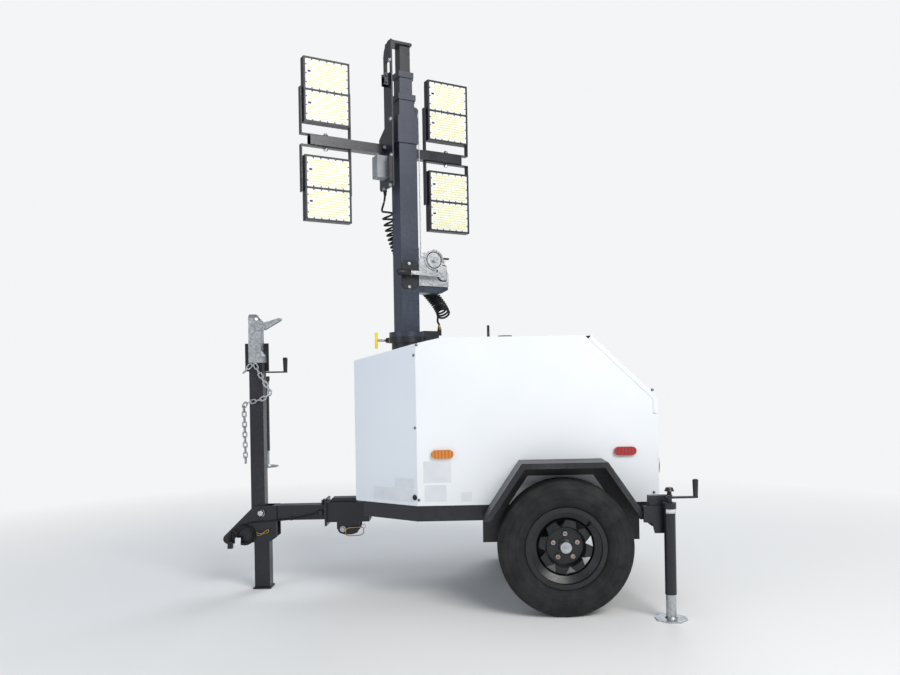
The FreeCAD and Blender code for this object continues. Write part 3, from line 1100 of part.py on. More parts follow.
def make_head(tube):
    """Innermost tube with its cap and hanger, crossbar, yokes and lamps."""
    thick = D.hanger_thick
    half = D.hanger_half
    face = hanger_u - thick
    wing = D.bar_off + D.bar_tall * 0.5 + 8
    cap = box((hanger_u - 1, -40, head_top_z - D.cap_thick), (-hanger_u + 37, 80, D.cap_thick))
    low_z = bar_z - D.hanger_below
    plate = [(-half, low_z), (wing - 12, low_z), (wing, low_z + 12), (wing, bar_z + 60), (half, bar_z + 104),
             (half, head_top_z - 65), (40, head_top_z - 38), (22, head_top_z - 14), (-8, head_top_z), (-half, head_top_z)]
    hanger = slab("yz", [plate], thick, (hanger_u - thick * 0.5, 0, 0))
    slot = box((face - 1, -30, head_top_z - 166), (thick + 2, 44, 62))
    ears = [box((face - 26, y, head_top_z - 232), (28, 5, 62)) for y in (-24, 12)]
    ear_bolts = [rod((face - 16, -30, head_top_z - 232 + z), "y", 12, 54) for z in (14, 48)]
    channel = box((face - 18, -half + 2, low_z + 24), (20, 22, 130))
    pass_side = D.bar_tall + D.seam * 2
    passage = box((face - 12, D.bar_off - pass_side * 0.5, bar_z - pass_side * 0.5), (40, pass_side, pass_side))
    solid = fuse([tube, cap, hanger, channel] + ears + ear_bolts)
    on_mast(cut(solid, [passage, slot]), "head_hanger")
    box_z = bar_z - 106
    case = block((face - 30 - D.seam, 42, box_z), (60, 66, 114))
    outlets = [rod((face - 46, 42 + y, box_z - 58), "z", 9, 12) for y in (-18, 0, 18)]
    on_mast(cut(case, outlets), "junction_box")

    mid = -D.bar_shift
    columns = (("left", -1), ("right", 1))
    holes = [rod((mid + D.yoke_apart * 0.5 * way, D.bar_off, bar_z - D.bar_tall), "z", D.yoke_bolt + 0.6, D.bar_tall * 2)
             for word, way in columns]
    bar_tube = tube_x(mid - D.bar_long * 0.5, D.bar_off, bar_z, D.bar_tall, D.bar_thin, D.bar_long)
    on_mast(cut(bar_tube, holes), "crossbar")

    span = D.lamp_wide + D.yoke_gap * 2 + D.yoke_thick * 2
    thick = D.yoke_thick
    for word, way in columns:
        at_u = mid + D.yoke_apart * 0.5 * way
        for level, up in (("upper", 1), ("lower", -1)):
            base_z = bar_z + (D.bar_tall * 0.5 + D.seam) * up - (0 if up > 0 else thick)
            lamp_z = bar_z + D.lamp_up * up
            floor = box((at_u - span * 0.5, D.bar_off - D.yoke_wide * 0.5, base_z), (span, D.yoke_wide, thick))
            tall = D.lamp_up - D.bar_tall * 0.5 + D.yoke_over
            low = base_z if up > 0 else base_z + thick - tall
            arms = [box((at_u + (span * 0.5 - (thick if s > 0 else 0)) * s, D.bar_off - D.yoke_wide * 0.5, low),
                        (thick, D.yoke_wide, tall)) for s in (-1, 1)]
            bolt_long = D.bar_tall * 0.5 + thick
            bolt_z = bar_z + 2 if up > 0 else bar_z - 2 - bolt_long
            bolt = rod((at_u, D.bar_off, bolt_z), "z", D.yoke_bolt, bolt_long)
            on_mast(fuse([floor, bolt] + arms), f"yoke_{level}_{word}")
            make_lamp(f"lamp_{level}_{word}", at_u, lamp_z, span)


def make_lamp(name, at_u, lamp_z, span):
    """Flood lamp: case with two framed light panels in front, cooling fins behind and pivots."""
    front = D.bar_off - D.lamp_deep * 0.5
    case = box((at_u - D.lamp_wide * 0.5, front, lamp_z - D.lamp_tall * 0.5), (D.lamp_wide, D.lamp_case, D.lamp_tall))
    rim = D.lamp_rim
    panel_tall = (D.lamp_tall - rim * 3) * 0.5
    panels = [box((at_u - D.lamp_wide * 0.5 + rim, front - 1, lamp_z + low), (D.lamp_wide - rim * 2, D.lamp_recess + 1, panel_tall))
              for low in (rim * 0.5, -rim * 0.5 - panel_tall)]
    count = int(float(D.fin_count))
    pitch = (D.lamp_wide - 30) / (count - 1)
    fins = [box((at_u - D.lamp_wide * 0.5 + 15 - D.fin_thick * 0.5 + pitch * k, front + D.lamp_case - 1, lamp_z - D.lamp_tall * 0.5 + 8),
                (D.fin_thick, D.lamp_deep - D.lamp_case + 1, D.lamp_tall - 16)) for k in range(count)]
    pins = rod((at_u - span * 0.5 + D.yoke_thick + 0.5, D.bar_off, lamp_z), "x", D.lamp_pin, span - D.yoke_thick * 2 - 1)
    on_mast(fuse([cut(case, panels), pins] + fins), name)


def oval(x, y, z, long, tall, deep):
    """A lens with round ends, its back at y."""
    middle = box((x - (long - tall) * 0.5, y, z - tall * 0.5), (long - tall, deep, tall))
    ends = [rod((x + (long - tall) * 0.5 * way, y, z), "y", tall, deep) for way in (-1, 1)]
    return [middle] + ends


def make_trim():
    """Marker and tail lamps, lifting eye and filler cap."""
    ambers, reds = [], []
    for side, sign in SIDES:
        y = D.body_half if sign > 0 else -D.body_half - D.marker_deep
        size = (D.marker_long, D.marker_tall, D.marker_deep)
        ambers.append(fuse(oval(D.axle_at - D.amber_ahead, y, D.marker_z, *size)))
        reds.append(fuse(oval(D.axle_at + D.red_behind, y, D.marker_z, *size)))
        reds.append(rod((back_x, (D.body_half - D.tail_in) * sign, D.tail_z), "x", D.tail_dia, D.marker_deep))
    node(fuse(ambers, "marker_lamps"), "marker_lamps")
    node(fuse(reds, "rear_lamps"), "rear_lamps")
    foot = D.eye_half
    tall = D.eye_tall
    eye = slab("yz", [[(-foot, 0), (foot, 0), (foot * 0.7, tall * 0.72), (foot * 0.4, tall), (foot * -0.4, tall),
                       (foot * -0.7, tall * 0.72)]],
               D.eye_thick, (D.axle_at - D.eye_ahead, 0, D.roof_z), [(0, tall * 0.6, D.eye_hole_dia * 0.5)])
    node(eye, "lifting_eye")
    cap = rod((D.axle_at - D.cap_ahead, -D.cap_side, D.roof_z), "z", D.cap_dia, D.cap_tall, "fuel_cap")
    node(cap, "fuel_cap")


def corner_radii(points):
    """Radius of the arc at each inner point: 0.45 of its shorter run over tan of half its turn."""
    radii = []
    for before, here, after in zip(points, points[1:], points[2:]):
        first, second = V(*here) - V(*before), V(*after) - V(*here)
        half_turn = first.getAngle(second) / 2
        radii.append(0.45 * min(first.Length, second.Length) / math.tan(half_turn))
    return radii


def tube_path(points):
    """Straight runs joined by tangent arcs, as one wire."""
    edges = []
    start = V(*points[0])
    for k, radius in enumerate(corner_radii(points), start=1):
        before, here, after = V(*points[k - 1]), V(*points[k]), V(*points[k + 1])
        into, out = (here - before).normalize(), (after - here).normalize()
        half_turn = into.getAngle(out) / 2
        reach = radius * math.tan(half_turn)
        enter, leave = here - into * reach, here + out * reach
        inward = (out - into).normalize()
        middle = here + inward * (radius / math.cos(half_turn) - radius)
        edges.append(Part.LineSegment(start, enter).toShape())
        edges.append(Part.Arc(enter, middle, leave).toShape())
        start = leave
    edges.append(Part.LineSegment(start, V(*points[-1])).toShape())
    return Part.Wire(edges)


def cord_solid(name, points, dia):
    """A plain round tube along a cord's route."""
    wire = tube_path(points)
    first = wire.Edges[0]
    section = Part.Wire(Part.Circle(V(*points[0]), first.tangentAt(first.FirstParameter), dia / 2).toShape())
    solid = wire.makePipeShell([section], True, False)
    expected = math.pi * dia * dia / 4 * wire.Length
    radii = [round(r) for r in corner_radii(points)]
    print(f"{name}: {wire.Length:.0f} mm long, radii {radii}, volume {solid.Volume / expected:.3f} of its section")
    return solid


def shape_node(name, shape):
    """A sub-part whose shape comes from its own code."""
    piece = doc.addObject("Part::Feature", name)
    piece.Shape = shape
    return node(piece, name)


def make_cords():
    """Curly cord of the mast, and the tow light cable with its hank and plug."""
    fat = float(D.cord_fat)
    route = [(-84, 100, 2040), (-80, 102, 1960), (-50, 106, 1860), (-10, 110, 1760), (50, 114, 1670),
             (125, 110, 1595), (190, 100, 1525), (236, 80, 1455), (232, 40, 1400), (192, 0, 1346)]
    piece = doc.addObject("Part::Feature", "curly_cord")
    piece.Shape = cord_solid("curly_cord", route, fat)
    on_mast(piece, "curly_cord")

    x0 = float(pivot_x)
    y = -(float(cheek_out) + float(D.tow_dia) / 2 + 0.3)
    lead = [(x0 + 296, y, 388), (x0 + 242, y, 373), (x0 + 185, y, 362), (x0 + 130, y, 356), (x0 + 75, y, 352.8),
            (x0 + 20, y, 350.6), (x0 - 28, y, 347.5), (x0 - 56, y, 344)]
    shape_node("tow_lead", cord_solid("tow_lead", lead, float(D.tow_dia)))
    hank_x, hank_z = pivot_x - 82, pivot_z - 111
    thick = D.hank_thick
    mid = D.hank_dia * 0.5 - thick * 0.5
    flat = thick * 0.2071
    eight = [(mid - thick * 0.5, -flat), (mid - flat, thick * -0.5), (mid + flat, thick * -0.5),
             (mid + thick * 0.5, -flat), (mid + thick * 0.5, flat), (mid + flat, thick * 0.5),
             (mid - flat, thick * 0.5), (mid - thick * 0.5, flat)]
    node(turned([eight], (hank_x, -cheek_out - D.seam - thick * 0.5, hank_z), "tow_coil"), "tow_coil")
    plug = box((hank_x - D.hank_dia * 0.5 - D.seam - 24, -cheek_out - D.seam - 24, hank_z - 67), (24, 24, 36), "tow_plug")
    node(plug, "tow_plug")


def chain_link(long, wide, wire):
    """One welded link, flat in the XZ plane, long along Z."""
    outer = [(wide / 2, long / 2 - wide / 3), (wide / 5, long / 2), (-wide / 5, long / 2),
             (-wide / 2, long / 2 - wide / 3), (-wide / 2, wide / 3 - long / 2), (-wide / 5, -long / 2),
             (wide / 5, -long / 2), (wide / 2, wide / 3 - long / 2)]
    scale_x, scale_z = (wide - 2 * wire) / wide, (long - 2 * wire) / long
    faces = []
    for lines in (outer, [(x * scale_x, z * scale_z) for x, z in outer]):
        points = [V(x, -wire / 2, z) for x, z in lines]
        faces.append(Part.Face(Part.makePolygon(points + points[:1])))
    return faces[0].cut(faces[1]).extrude(V(0, wire, 0))


def chain(points):
    """Links along a route, every other one turned a quarter."""
    long, wide, wire = float(D.link_long), float(D.link_wide), float(D.link_wire)
    link = chain_link(long, wide, wire)
    pitch = long - 2 * wire - 0.4
    route = Part.makePolygon([V(*p) for p in points])
    count = int(route.Length / pitch)
    spots = route.discretize(Number=count + 1)
    links = []
    for k in range(count):
        along = spots[k + 1] - spots[k]
        copy = link.copy()
        copy.rotate(V(0, 0, 0), V(0, 0, 1), 90 * (k % 2))
        copy.Placement = FreeCAD.Placement((spots[k] + spots[k + 1]) * 0.5,
                                           FreeCAD.Rotation(V(0, 0, 1), along)).multiply(copy.Placement)
        links.append(copy)
    return links

def make_chains():
    """Two safety chains hooked at the coupler and hung round the tongue."""
    x0 = float(tongue_x)
    top = float(tongue_top)
    y = -float(tongue_side) / 2 - float(D.link_wide) / 2 - 0.3
    first = [(x0 - 2, y, top - 32), (x0 + 36, y, top - 110), (x0 + 80, y, top - 184), (x0 + 36, y, top - 214),
             (x0 - 62, y, top - 236), (x0 - 60, y, top - 300), (x0 - 57, y, top - 540)]
    second = [(x0 - 18, y, top - 33), (x0 - 62, y, top - 78)]
    shape_node("safety_chains", Part.Compound(chain(first) + chain(second)))


def make_parts():
    """Every sub-part, from the ground up."""
    make_frame()
    make_axle()
    for side, sign in SIDES:
        make_wheel(side, sign)
        make_fender(side, sign)
    make_enclosure()
    make_lid()
    make_receiver()
    make_drawbar()
    make_tongue()
    make_coupler()
    make_jacks()
    make_head(make_mast())
    make_winch()
    make_trim()
    make_cords()
    make_chains()


def check_and_write():
    """Stop at a failed piece, and else write each sub-part to its own file."""
    doc.recompute()
    failed = [o.Label for o in doc.Objects if {"Invalid", "Error"} & set(o.State)]
    for piece in NODES:
        if piece.Shape.isNull() or not piece.Shape.isValid():
            failed.append(piece.Label)
    if failed:
        raise RuntimeError(f"these pieces failed: {failed}")
    os.makedirs("parts", exist_ok=True)
    for piece in NODES:
        piece.Shape.exportStep(os.path.join("parts", piece.Label + ".step"))
    low = [min(getattr(p.Shape.BoundBox, c + "Min") for p in NODES) for c in "XYZ"]
    high = [max(getattr(p.Shape.BoundBox, c + "Max") for p in NODES) for c in "XYZ"]
    print(f"{len(NODES)} sub-parts, from {[round(v) for v in low]} to {[round(v) for v in high]}")
    for piece in NODES:
        print(f"{piece.Label}: {len(piece.Shape.Solids)} solids, {piece.Shape.Volume / 1e6:.2f} litres")


make_parts()
check_and_write()
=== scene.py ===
# %% [markdown]
# A mobile light tower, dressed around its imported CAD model. The CAD pieces keep their shapes and
# places; here they get their finishes, and the small things that only the eye needs are added.

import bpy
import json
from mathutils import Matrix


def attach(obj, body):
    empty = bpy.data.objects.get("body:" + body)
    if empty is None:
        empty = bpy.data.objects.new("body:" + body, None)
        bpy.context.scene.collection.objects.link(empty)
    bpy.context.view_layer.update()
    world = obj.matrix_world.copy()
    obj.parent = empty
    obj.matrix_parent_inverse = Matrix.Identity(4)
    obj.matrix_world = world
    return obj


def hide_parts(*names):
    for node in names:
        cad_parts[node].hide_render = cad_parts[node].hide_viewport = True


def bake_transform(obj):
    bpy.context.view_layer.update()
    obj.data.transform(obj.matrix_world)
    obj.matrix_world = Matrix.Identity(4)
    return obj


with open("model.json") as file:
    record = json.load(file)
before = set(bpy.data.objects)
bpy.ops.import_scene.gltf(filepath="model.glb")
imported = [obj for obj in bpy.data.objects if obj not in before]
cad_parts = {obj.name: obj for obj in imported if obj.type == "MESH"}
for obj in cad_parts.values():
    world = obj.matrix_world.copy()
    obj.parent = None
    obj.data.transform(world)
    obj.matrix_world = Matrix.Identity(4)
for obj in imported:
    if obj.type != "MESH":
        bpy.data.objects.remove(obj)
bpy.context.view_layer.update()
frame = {"nodes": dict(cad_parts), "record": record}

# %% [markdown]
# The modules come next, and two short helpers for numbers: colours are written as the sRGB hex that
# a paint chart gives, and sizes as millimetres, because that is how the real object is drawn.

# %% Modules and units
import bmesh
import bpy
import json
import math
import numpy as np
from mathutils import Matrix, Vector

MM = 0.001


def linear(code, alpha=1.0):
    """An sRGB hex colour as Blender's linear numbers: each channel through the sRGB curve."""
    channels = [int(code[k:k + 2], 16) / 255 for k in (1, 3, 5)]
    return [c / 12.92 if c <= 0.04045 else ((c + 0.055) / 1.055) ** 2.4 for c in channels] + [alpha]


# %% [markdown]
# The photograph was taken a little under five metres away, at chest height, with the tower's left
# side towards the camera. The lens and place were worked out from corners of the enclosure, the
# wheel and the lamps, with the tyre's size as the scale. The picture leans by a degree, so the
# camera does too.

# %% Camera
PICTURE = (900, 675)
SENSOR = 36.0
FOCAL_PIXELS = 814.6
EYE = Vector((108.3, -4269.8, 1057.0)) * MM
YAW, PITCH, ROLL = -0.018273, 0.000544, -0.017104
CENTRE = (478.6, 380.1)

camera_data = bpy.data.cameras.new("camera")
camera_data.sensor_width = SENSOR
camera_data.lens = FOCAL_PIXELS / PICTURE[0] * SENSOR
camera_data.shift_x = (PICTURE[0] / 2 - CENTRE[0]) / PICTURE[0]
camera_data.shift_y = (CENTRE[1] - PICTURE[1] / 2) / PICTURE[0]
camera = bpy.data.objects.new("camera", camera_data)
forward = Vector((-math.sin(YAW) * math.cos(PITCH), math.cos(YAW) * math.cos(PITCH), math.sin(PITCH)))
level_right = forward.cross(Vector((0, 0, 1))).normalized()
level_up = level_right.cross(forward)
right = level_right * math.cos(ROLL) + level_up * math.sin(ROLL)
up = right.cross(forward)
camera.matrix_world = Matrix((
    (right.x, up.x, -forward.x, EYE.x),
    (right.y, up.y, -forward.y, EYE.y),
    (right.z, up.z, -forward.z, EYE.z),
    (0, 0, 0, 1)))
bpy.context.scene.collection.objects.link(camera)
bpy.context.scene.camera = camera
bpy.context.scene.view_settings.view_transform = "Standard"
print("lens", round(camera_data.lens, 2), "mm")

# %% [markdown]
# The light is plain and soft: a pale sky all round, one large panel high on the right, a weaker one on
# the left and one behind, so that the side is bright, the slanted nose a shade darker, and the mast's
# left face nearly black. The nose's white finish also has that shade painted in as a darker tone. The
# floor is pale and matt, and fades into a white surround that only the camera sees.

# %% One helper for every node tree
def add(tree, kind, inputs=None, **settings):
    """Add one node: settings are its properties, inputs its sockets, as a value or another's output."""
    made = tree.nodes.new(kind)
    for name, value in settings.items():
        setattr(made, name, value)
    for socket, value in (inputs or {}).items():
        if isinstance(value, bpy.types.NodeSocket):
            tree.links.new(value, made.inputs[socket])
        else:
            made.inputs[socket].default_value = value
    return made


# %% World and lamps
world = bpy.data.worlds.new("studio")
world.use_nodes = True
sky = world.node_tree
sky.nodes.clear()
rays = add(sky, "ShaderNodeLightPath")
clear = add(sky, "ShaderNodeMath", {0: rays.outputs["Is Camera Ray"], 1: rays.outputs["Is Transmission Ray"]},
            operation="MAXIMUM")
fill = add(sky, "ShaderNodeBackground", {"Color": linear("#E9EEF4"), "Strength": 0.42})
paper = add(sky, "ShaderNodeBackground", {"Color": linear("#F4F5F6"), "Strength": 1.0})
either = add(sky, "ShaderNodeMixShader", {0: clear.outputs[0], 1: fill.outputs[0], 2: paper.outputs[0]})
add(sky, "ShaderNodeOutputWorld", {"Surface": either.outputs[0]})
bpy.context.scene.world = world


def soft_panel(name, place, target, size, power, colour):
    """A square area lamp at a place, turned towards a target."""
    lamp = bpy.data.lights.new(name, "AREA")
    lamp.size, lamp.energy, lamp.color = size, power, linear(colour)[:3]
    holder = bpy.data.objects.new(name, lamp)
    towards = Vector(target) - Vector(place)
    holder.matrix_world = Matrix.Translation(place) @ towards.to_track_quat("-Z", "Y").to_matrix().to_4x4()
    bpy.context.scene.collection.objects.link(holder)
    return holder


soft_panel("key", (3.2, -5.0, 4.6), (0.1, 0, 1.0), 3.2, 300, "#FFFCF8")
soft_panel("fill", (-4.4, -3.6, 3.0), (0, 0, 0.9), 3.0, 50, "#EEF4FF")
soft_panel("rim", (1.2, 4.6, 4.2), (0, 0, 1.2), 3.0, 110, "#F4F8FF")

# %% [markdown]
# The floor is one large sheet of matt pale vinyl. It isn't part of the object.

# %% Floor
FADE_FROM, FADE_TO = 1.5, 4.8        # metres from the middle
floor_mesh = bpy.data.meshes.new("floor")
reach = 40.0
floor_mesh.from_pydata([(-reach, -reach, 0), (reach, -reach, 0), (reach, reach, 0), (-reach, reach, 0)], [],
                       [(0, 1, 2, 3)])
floor = bpy.data.objects.new("floor", floor_mesh)
bpy.context.scene.collection.objects.link(floor)
matt_vinyl = bpy.data.materials.new("matt_vinyl")
matt_vinyl.use_nodes = True
tree = matt_vinyl.node_tree
shader = tree.nodes["Principled BSDF"]
shader.inputs["Base Color"].default_value = linear("#F4F5F5")
shader.inputs["Roughness"].default_value = 0.85
place = add(tree, "ShaderNodeTexCoord").outputs["Object"]
distance = add(tree, "ShaderNodeVectorMath", {0: place}, operation="LENGTH").outputs["Value"]
fade = add(tree, "ShaderNodeMapRange",
           {"Value": distance, "From Min": FADE_FROM, "From Max": FADE_TO}).outputs["Result"]
glow = add(tree, "ShaderNodeEmission", {"Color": linear("#F4F5F6"), "Strength": 1.0})
both = add(tree, "ShaderNodeMixShader", {0: fade, 1: shader.outputs[0], 2: glow.outputs[0]})
tree.links.new(both.outputs[0], tree.nodes["Material Output"].inputs["Surface"])
floor_mesh.materials.append(matt_vinyl)

# %% [markdown]
# Finishes. Each one is a small node tree that reads Object coordinates, which are metres in the
# object's own frame, so a pattern stays where it is when a joint moves. A noise's scale is one over
# the size of its blotches, so the helper below takes that size in millimetres.

# %% Helpers for the finishes
def noise(tree, place, size_mm, detail=3.0, roughness=0.55):
    """Blotches of a real size, as a value from 0 to 1."""
    return add(tree, "ShaderNodeTexNoise", {"Vector": place, "Scale": 1000.0 / size_mm, "Detail": detail,
                                            "Roughness": roughness}).outputs["Fac"]


def ramp(tree, value, low, high, first, second):
    """A colour that goes from the first to the second while the value goes from low to high."""
    made = add(tree, "ShaderNodeValToRGB", {"Fac": value})
    made.color_ramp.elements[0].position, made.color_ramp.elements[1].position = low, high
    made.color_ramp.elements[0].color, made.color_ramp.elements[1].color = first, second
    return made.outputs["Color"]


def stretch(tree, value, low, high, to_low, to_high):
    """A value spread from one range to another, and held at the ends."""
    return add(tree, "ShaderNodeMapRange", {"Value": value, "From Min": low, "From Max": high,
                                            "To Min": to_low, "To Max": to_high}).outputs["Result"]


def mix(tree, amount, first, second, blend="MIX"):
    """Two colours mixed."""
    made = add(tree, "ShaderNodeMix", data_type="RGBA", blend_type=blend)
    for socket, value in ((made.inputs[0], amount), (made.inputs[6], first), (made.inputs[7], second)):
        if isinstance(value, bpy.types.NodeSocket):
            tree.links.new(value, socket)
        else:
            socket.default_value = value
    return made.outputs[2]


def bump(tree, value, height_mm, strength=0.5):
    """A relief of a real height."""
    return add(tree, "ShaderNodeBump", {"Height": value, "Distance": height_mm * MM,
                                        "Strength": strength}).outputs["Normal"]


def finish_tree(name, **sockets):
    """A material, its tree, its shader and the place on the object; plain values go on the shader."""
    made = bpy.data.materials.new(name)
    made.use_nodes = True
    tree = made.node_tree
    shader = tree.nodes["Principled BSDF"]
    for socket, value in sockets.items():
        shader.inputs[socket.replace("_", " ")].default_value = value
    place = add(tree, "ShaderNodeTexCoord").outputs["Object"]
    return made, tree, shader, place


def wear_in(tree, shader, **links):
    """Link outputs to the shader's sockets."""
    for socket, value in links.items():
        tree.links.new(value, shader.inputs[socket.replace("_", " ")])


# %% [markdown]
# The enclosure is steel sheet with white polyester powder coat: sprayed as dry powder and baked, so
# it has a faint orange peel and an even half gloss. Real orange peel is about 2 mm across, too fine
# to show here, so it is drawn at 9 mm and very low. Road dust greys the lowest part a little.

# %% White powder coat
def white_powder_coat(name, clean, dusty):
    """Half-gloss white with broad faint tone changes, dust below and an orange-peel relief."""
    made, tree, shader, place = finish_tree(name, Roughness=0.36, Coat_Weight=0.25, Coat_Roughness=0.22)
    tone = ramp(tree, noise(tree, place, 620, 2.0), 0.35, 0.7, linear(clean), linear(dusty))
    height = add(tree, "ShaderNodeSeparateXYZ", {0: place}).outputs["Z"]
    low = stretch(tree, height, 0.62, 0.47, 0.0, 0.16)
    streak = add(tree, "ShaderNodeMapping", {"Vector": place, "Scale": (1.0, 1.0, 0.12)}).outputs[0]
    dirt = add(tree, "ShaderNodeMath", {0: low, 1: noise(tree, streak, 26, 4.0)},
               operation="MULTIPLY").outputs[0]
    colour = mix(tree, dirt, tone, linear("#A9A59B"))
    wear_in(tree, shader, Base_Color=colour, Normal=bump(tree, noise(tree, place, 9, 1.5), 0.25, 0.12),
            Roughness=stretch(tree, noise(tree, place, 180, 2.0), 0.3, 0.7, 0.32, 0.42))
    return made


white_sheet = white_powder_coat("white_powder_coat", "#EFF3F7", "#E6EBF0")
# Painted shade: the slanted nose gets a darker, bluer copy of the same white, for the light falling off on
# the panel that faces away from the key lamp.
white_corner_painted_shade = white_powder_coat("white_powder_coat_corner_painted_shade", "#E6EDF5", "#DEE6EF")
print("white finishes", white_sheet.name, white_corner_painted_shade.name)

# %% [markdown]
# Frame, fenders, mast and jacks are black powder coat on welded steel. It is thicker and glossier
# than paint, and black picks up the sky, which gives the navy sheen in the photograph. On the mast
# tubes that sheen is also painted in as painted light: their colour is lifted to a blue grey. Handling
# leaves pale dusty rub marks, stronger in some places than others.

# %% Black powder coat
def black_powder_coat(name, deep, rubbed, shine, dust=0.35):
    """Near-black half gloss with dusty patches and fine scuffs."""
    made, tree, shader, place = finish_tree(name, Roughness=shine, Coat_Weight=0.15, Coat_Roughness=0.3)
    patch = noise(tree, place, 240, 5.0, 0.62)
    scuff = noise(tree, place, 14, 6.0, 0.7)
    both = add(tree, "ShaderNodeMath", {0: patch, 1: scuff}, operation="MULTIPLY").outputs[0]
    amount = stretch(tree, both, 0.24, 0.42, 0.0, dust)
    wear_in(tree, shader, Base_Color=mix(tree, amount, linear(deep), linear(rubbed)),
            Roughness=stretch(tree, both, 0.2, 0.45, shine, shine + 0.22),
            Normal=bump(tree, noise(tree, place, 7, 2.0), 0.2, 0.12))
    return made


black_steel = black_powder_coat("black_powder_coat", "#12151D", "#3A3F49", 0.34)
black_mast = black_powder_coat("black_powder_coat_mast", "#10141F", "#2B3242", 0.27, 0.22)
# Painted light: the mast tubes' coat is lifted from black to a blue grey that stands in for the navy sheen on
# their lit face.
mast_coat_painted_light = black_powder_coat("black_powder_coat_mast_tube_painted_light", "#2A3243", "#4A556C", 0.3, 0.3)
black_fender = black_powder_coat("black_powder_coat_fender", "#14171E", "#4A4E55", 0.4, 0.5)
black_rim = black_powder_coat("black_powder_coat_rim", "#0F1116", "#33373D", 0.33)

# %% [markdown]
# Winch, coupler, chains, jack tubes and wheel nuts are zinc plated: bright metal with a slightly
# milky, mottled film. The mottling is about 12 mm across. A metal's tint is its base colour, and
# its roughness changes from patch to patch.

# %% Zinc plate
def zinc_plate(name, bright, dull, rough=0.3):
    """Milky plated steel: two greys in small patches, and a roughness that follows them."""
    made, tree, shader, place = finish_tree(name, Metallic=1.0)
    patch = noise(tree, place, 12, 4.0, 0.65)
    stain = noise(tree, place, 90, 3.0)
    stained = stretch(tree, stain, 0.45, 0.7, 0.0, 0.5)
    milky = ramp(tree, patch, 0.35, 0.68, linear(dull), linear(bright))
    film = mix(tree, stained, milky, linear("#8F9194"))
    wear_in(tree, shader, Base_Color=film, Roughness=stretch(tree, patch, 0.3, 0.7, rough, rough + 0.18),
            Normal=bump(tree, patch, 0.15, 0.1))
    return made


zinc = zinc_plate("zinc_plate", "#D5D8DA", "#AEB3B8")
bright_zinc = zinc_plate("bright_zinc_plate", "#E3E5E6", "#C2C6CA", 0.22)
yellow_zinc = zinc_plate("yellow_zinc_plate", "#D9BC6A", "#B98F45", 0.28)
print("metals", [m.name for m in (zinc, bright_zinc, yellow_zinc)])

# %% [markdown]
# Tyre rubber is carbon black in natural rubber: very dark, with almost no gloss, and greyer where
# dust sits. Cable jackets and grips are the same family, a little smoother.

# %% Rubber
def black_rubber(name, fresh, dusty, rough, grain_mm):
    """Matt black with dust in broad patches and a fine grain."""
    made, tree, shader, place = finish_tree(name, Specular_IOR_Level=0.35)
    dust = stretch(tree, noise(tree, place, 85, 5.0, 0.6), 0.42, 0.75, 0.0, 0.55)
    wear_in(tree, shader, Base_Color=mix(tree, dust, linear(fresh), linear(dusty)),
            Roughness=stretch(tree, noise(tree, place, 40, 3.0), 0.3, 0.7, rough, rough + 0.15),
            Normal=bump(tree, noise(tree, place, grain_mm, 3.0), 0.3, 0.25))
    return made


tyre_rubber = black_rubber("tyre_rubber", "#191A1C", "#3B3B3A", 0.68, 5)
cable_jacket = black_rubber("cable_jacket", "#101114", "#26282B", 0.42, 6)
grip_rubber = black_rubber("grip_rubber", "#0E0F11", "#232528", 0.38, 4)

# %% [markdown]
# Lenses are clear coloured acrylic over a white reflector. Solid colour with a smooth coat and fine
# upright flutes reads as a lens from any side and still exports. The flutes are 4 mm apart.

# %% Lens acrylic
FLUTE_MM = 4.0


def lens_acrylic(name, colour, deep):
    """Glossy coloured plastic with upright flutes."""
    made, tree, shader, place = finish_tree(name, Roughness=0.12, Coat_Weight=0.6, Coat_Roughness=0.05,
                                            Transmission_Weight=0.25)
    scale = 1000.0 / FLUTE_MM / (2 * math.pi) * 0.5
    flutes = add(tree, "ShaderNodeTexWave", {"Vector": place, "Scale": scale, "Distortion": 0.0},
                 bands_direction="X").outputs["Fac"]
    wear_in(tree, shader, Base_Color=ramp(tree, flutes, 0.2, 0.8, linear(deep), linear(colour)),
            Normal=bump(tree, flutes, 0.5, 0.4))
    return made


amber_lens = lens_acrylic("amber_acrylic", "#F59A1C", "#D9720B")
red_lens = lens_acrylic("red_acrylic", "#D2161A", "#9E0B10")


# %% [markdown]
# Moulded plastics and plain paints are one family: an even colour, a fine spark-eroded grain on
# plastic, and a soft gloss on paint.

# %% Plastics and paints
def moulded(name, colour, second, rough, grain_mm=3.0, grain=0.2):
    """Even colour with a faint second tone and a fine grain."""
    made, tree, shader, place = finish_tree(name, Roughness=rough)
    tone = ramp(tree, noise(tree, place, 70, 3.0), 0.35, 0.7, linear(colour), linear(second))
    wear_in(tree, shader, Base_Color=tone,
            Normal=bump(tree, noise(tree, place, grain_mm, 2.0), grain, 0.2),
            Roughness=stretch(tree, noise(tree, place, 30, 3.0), 0.3, 0.7, rough, rough + 0.1))
    return made


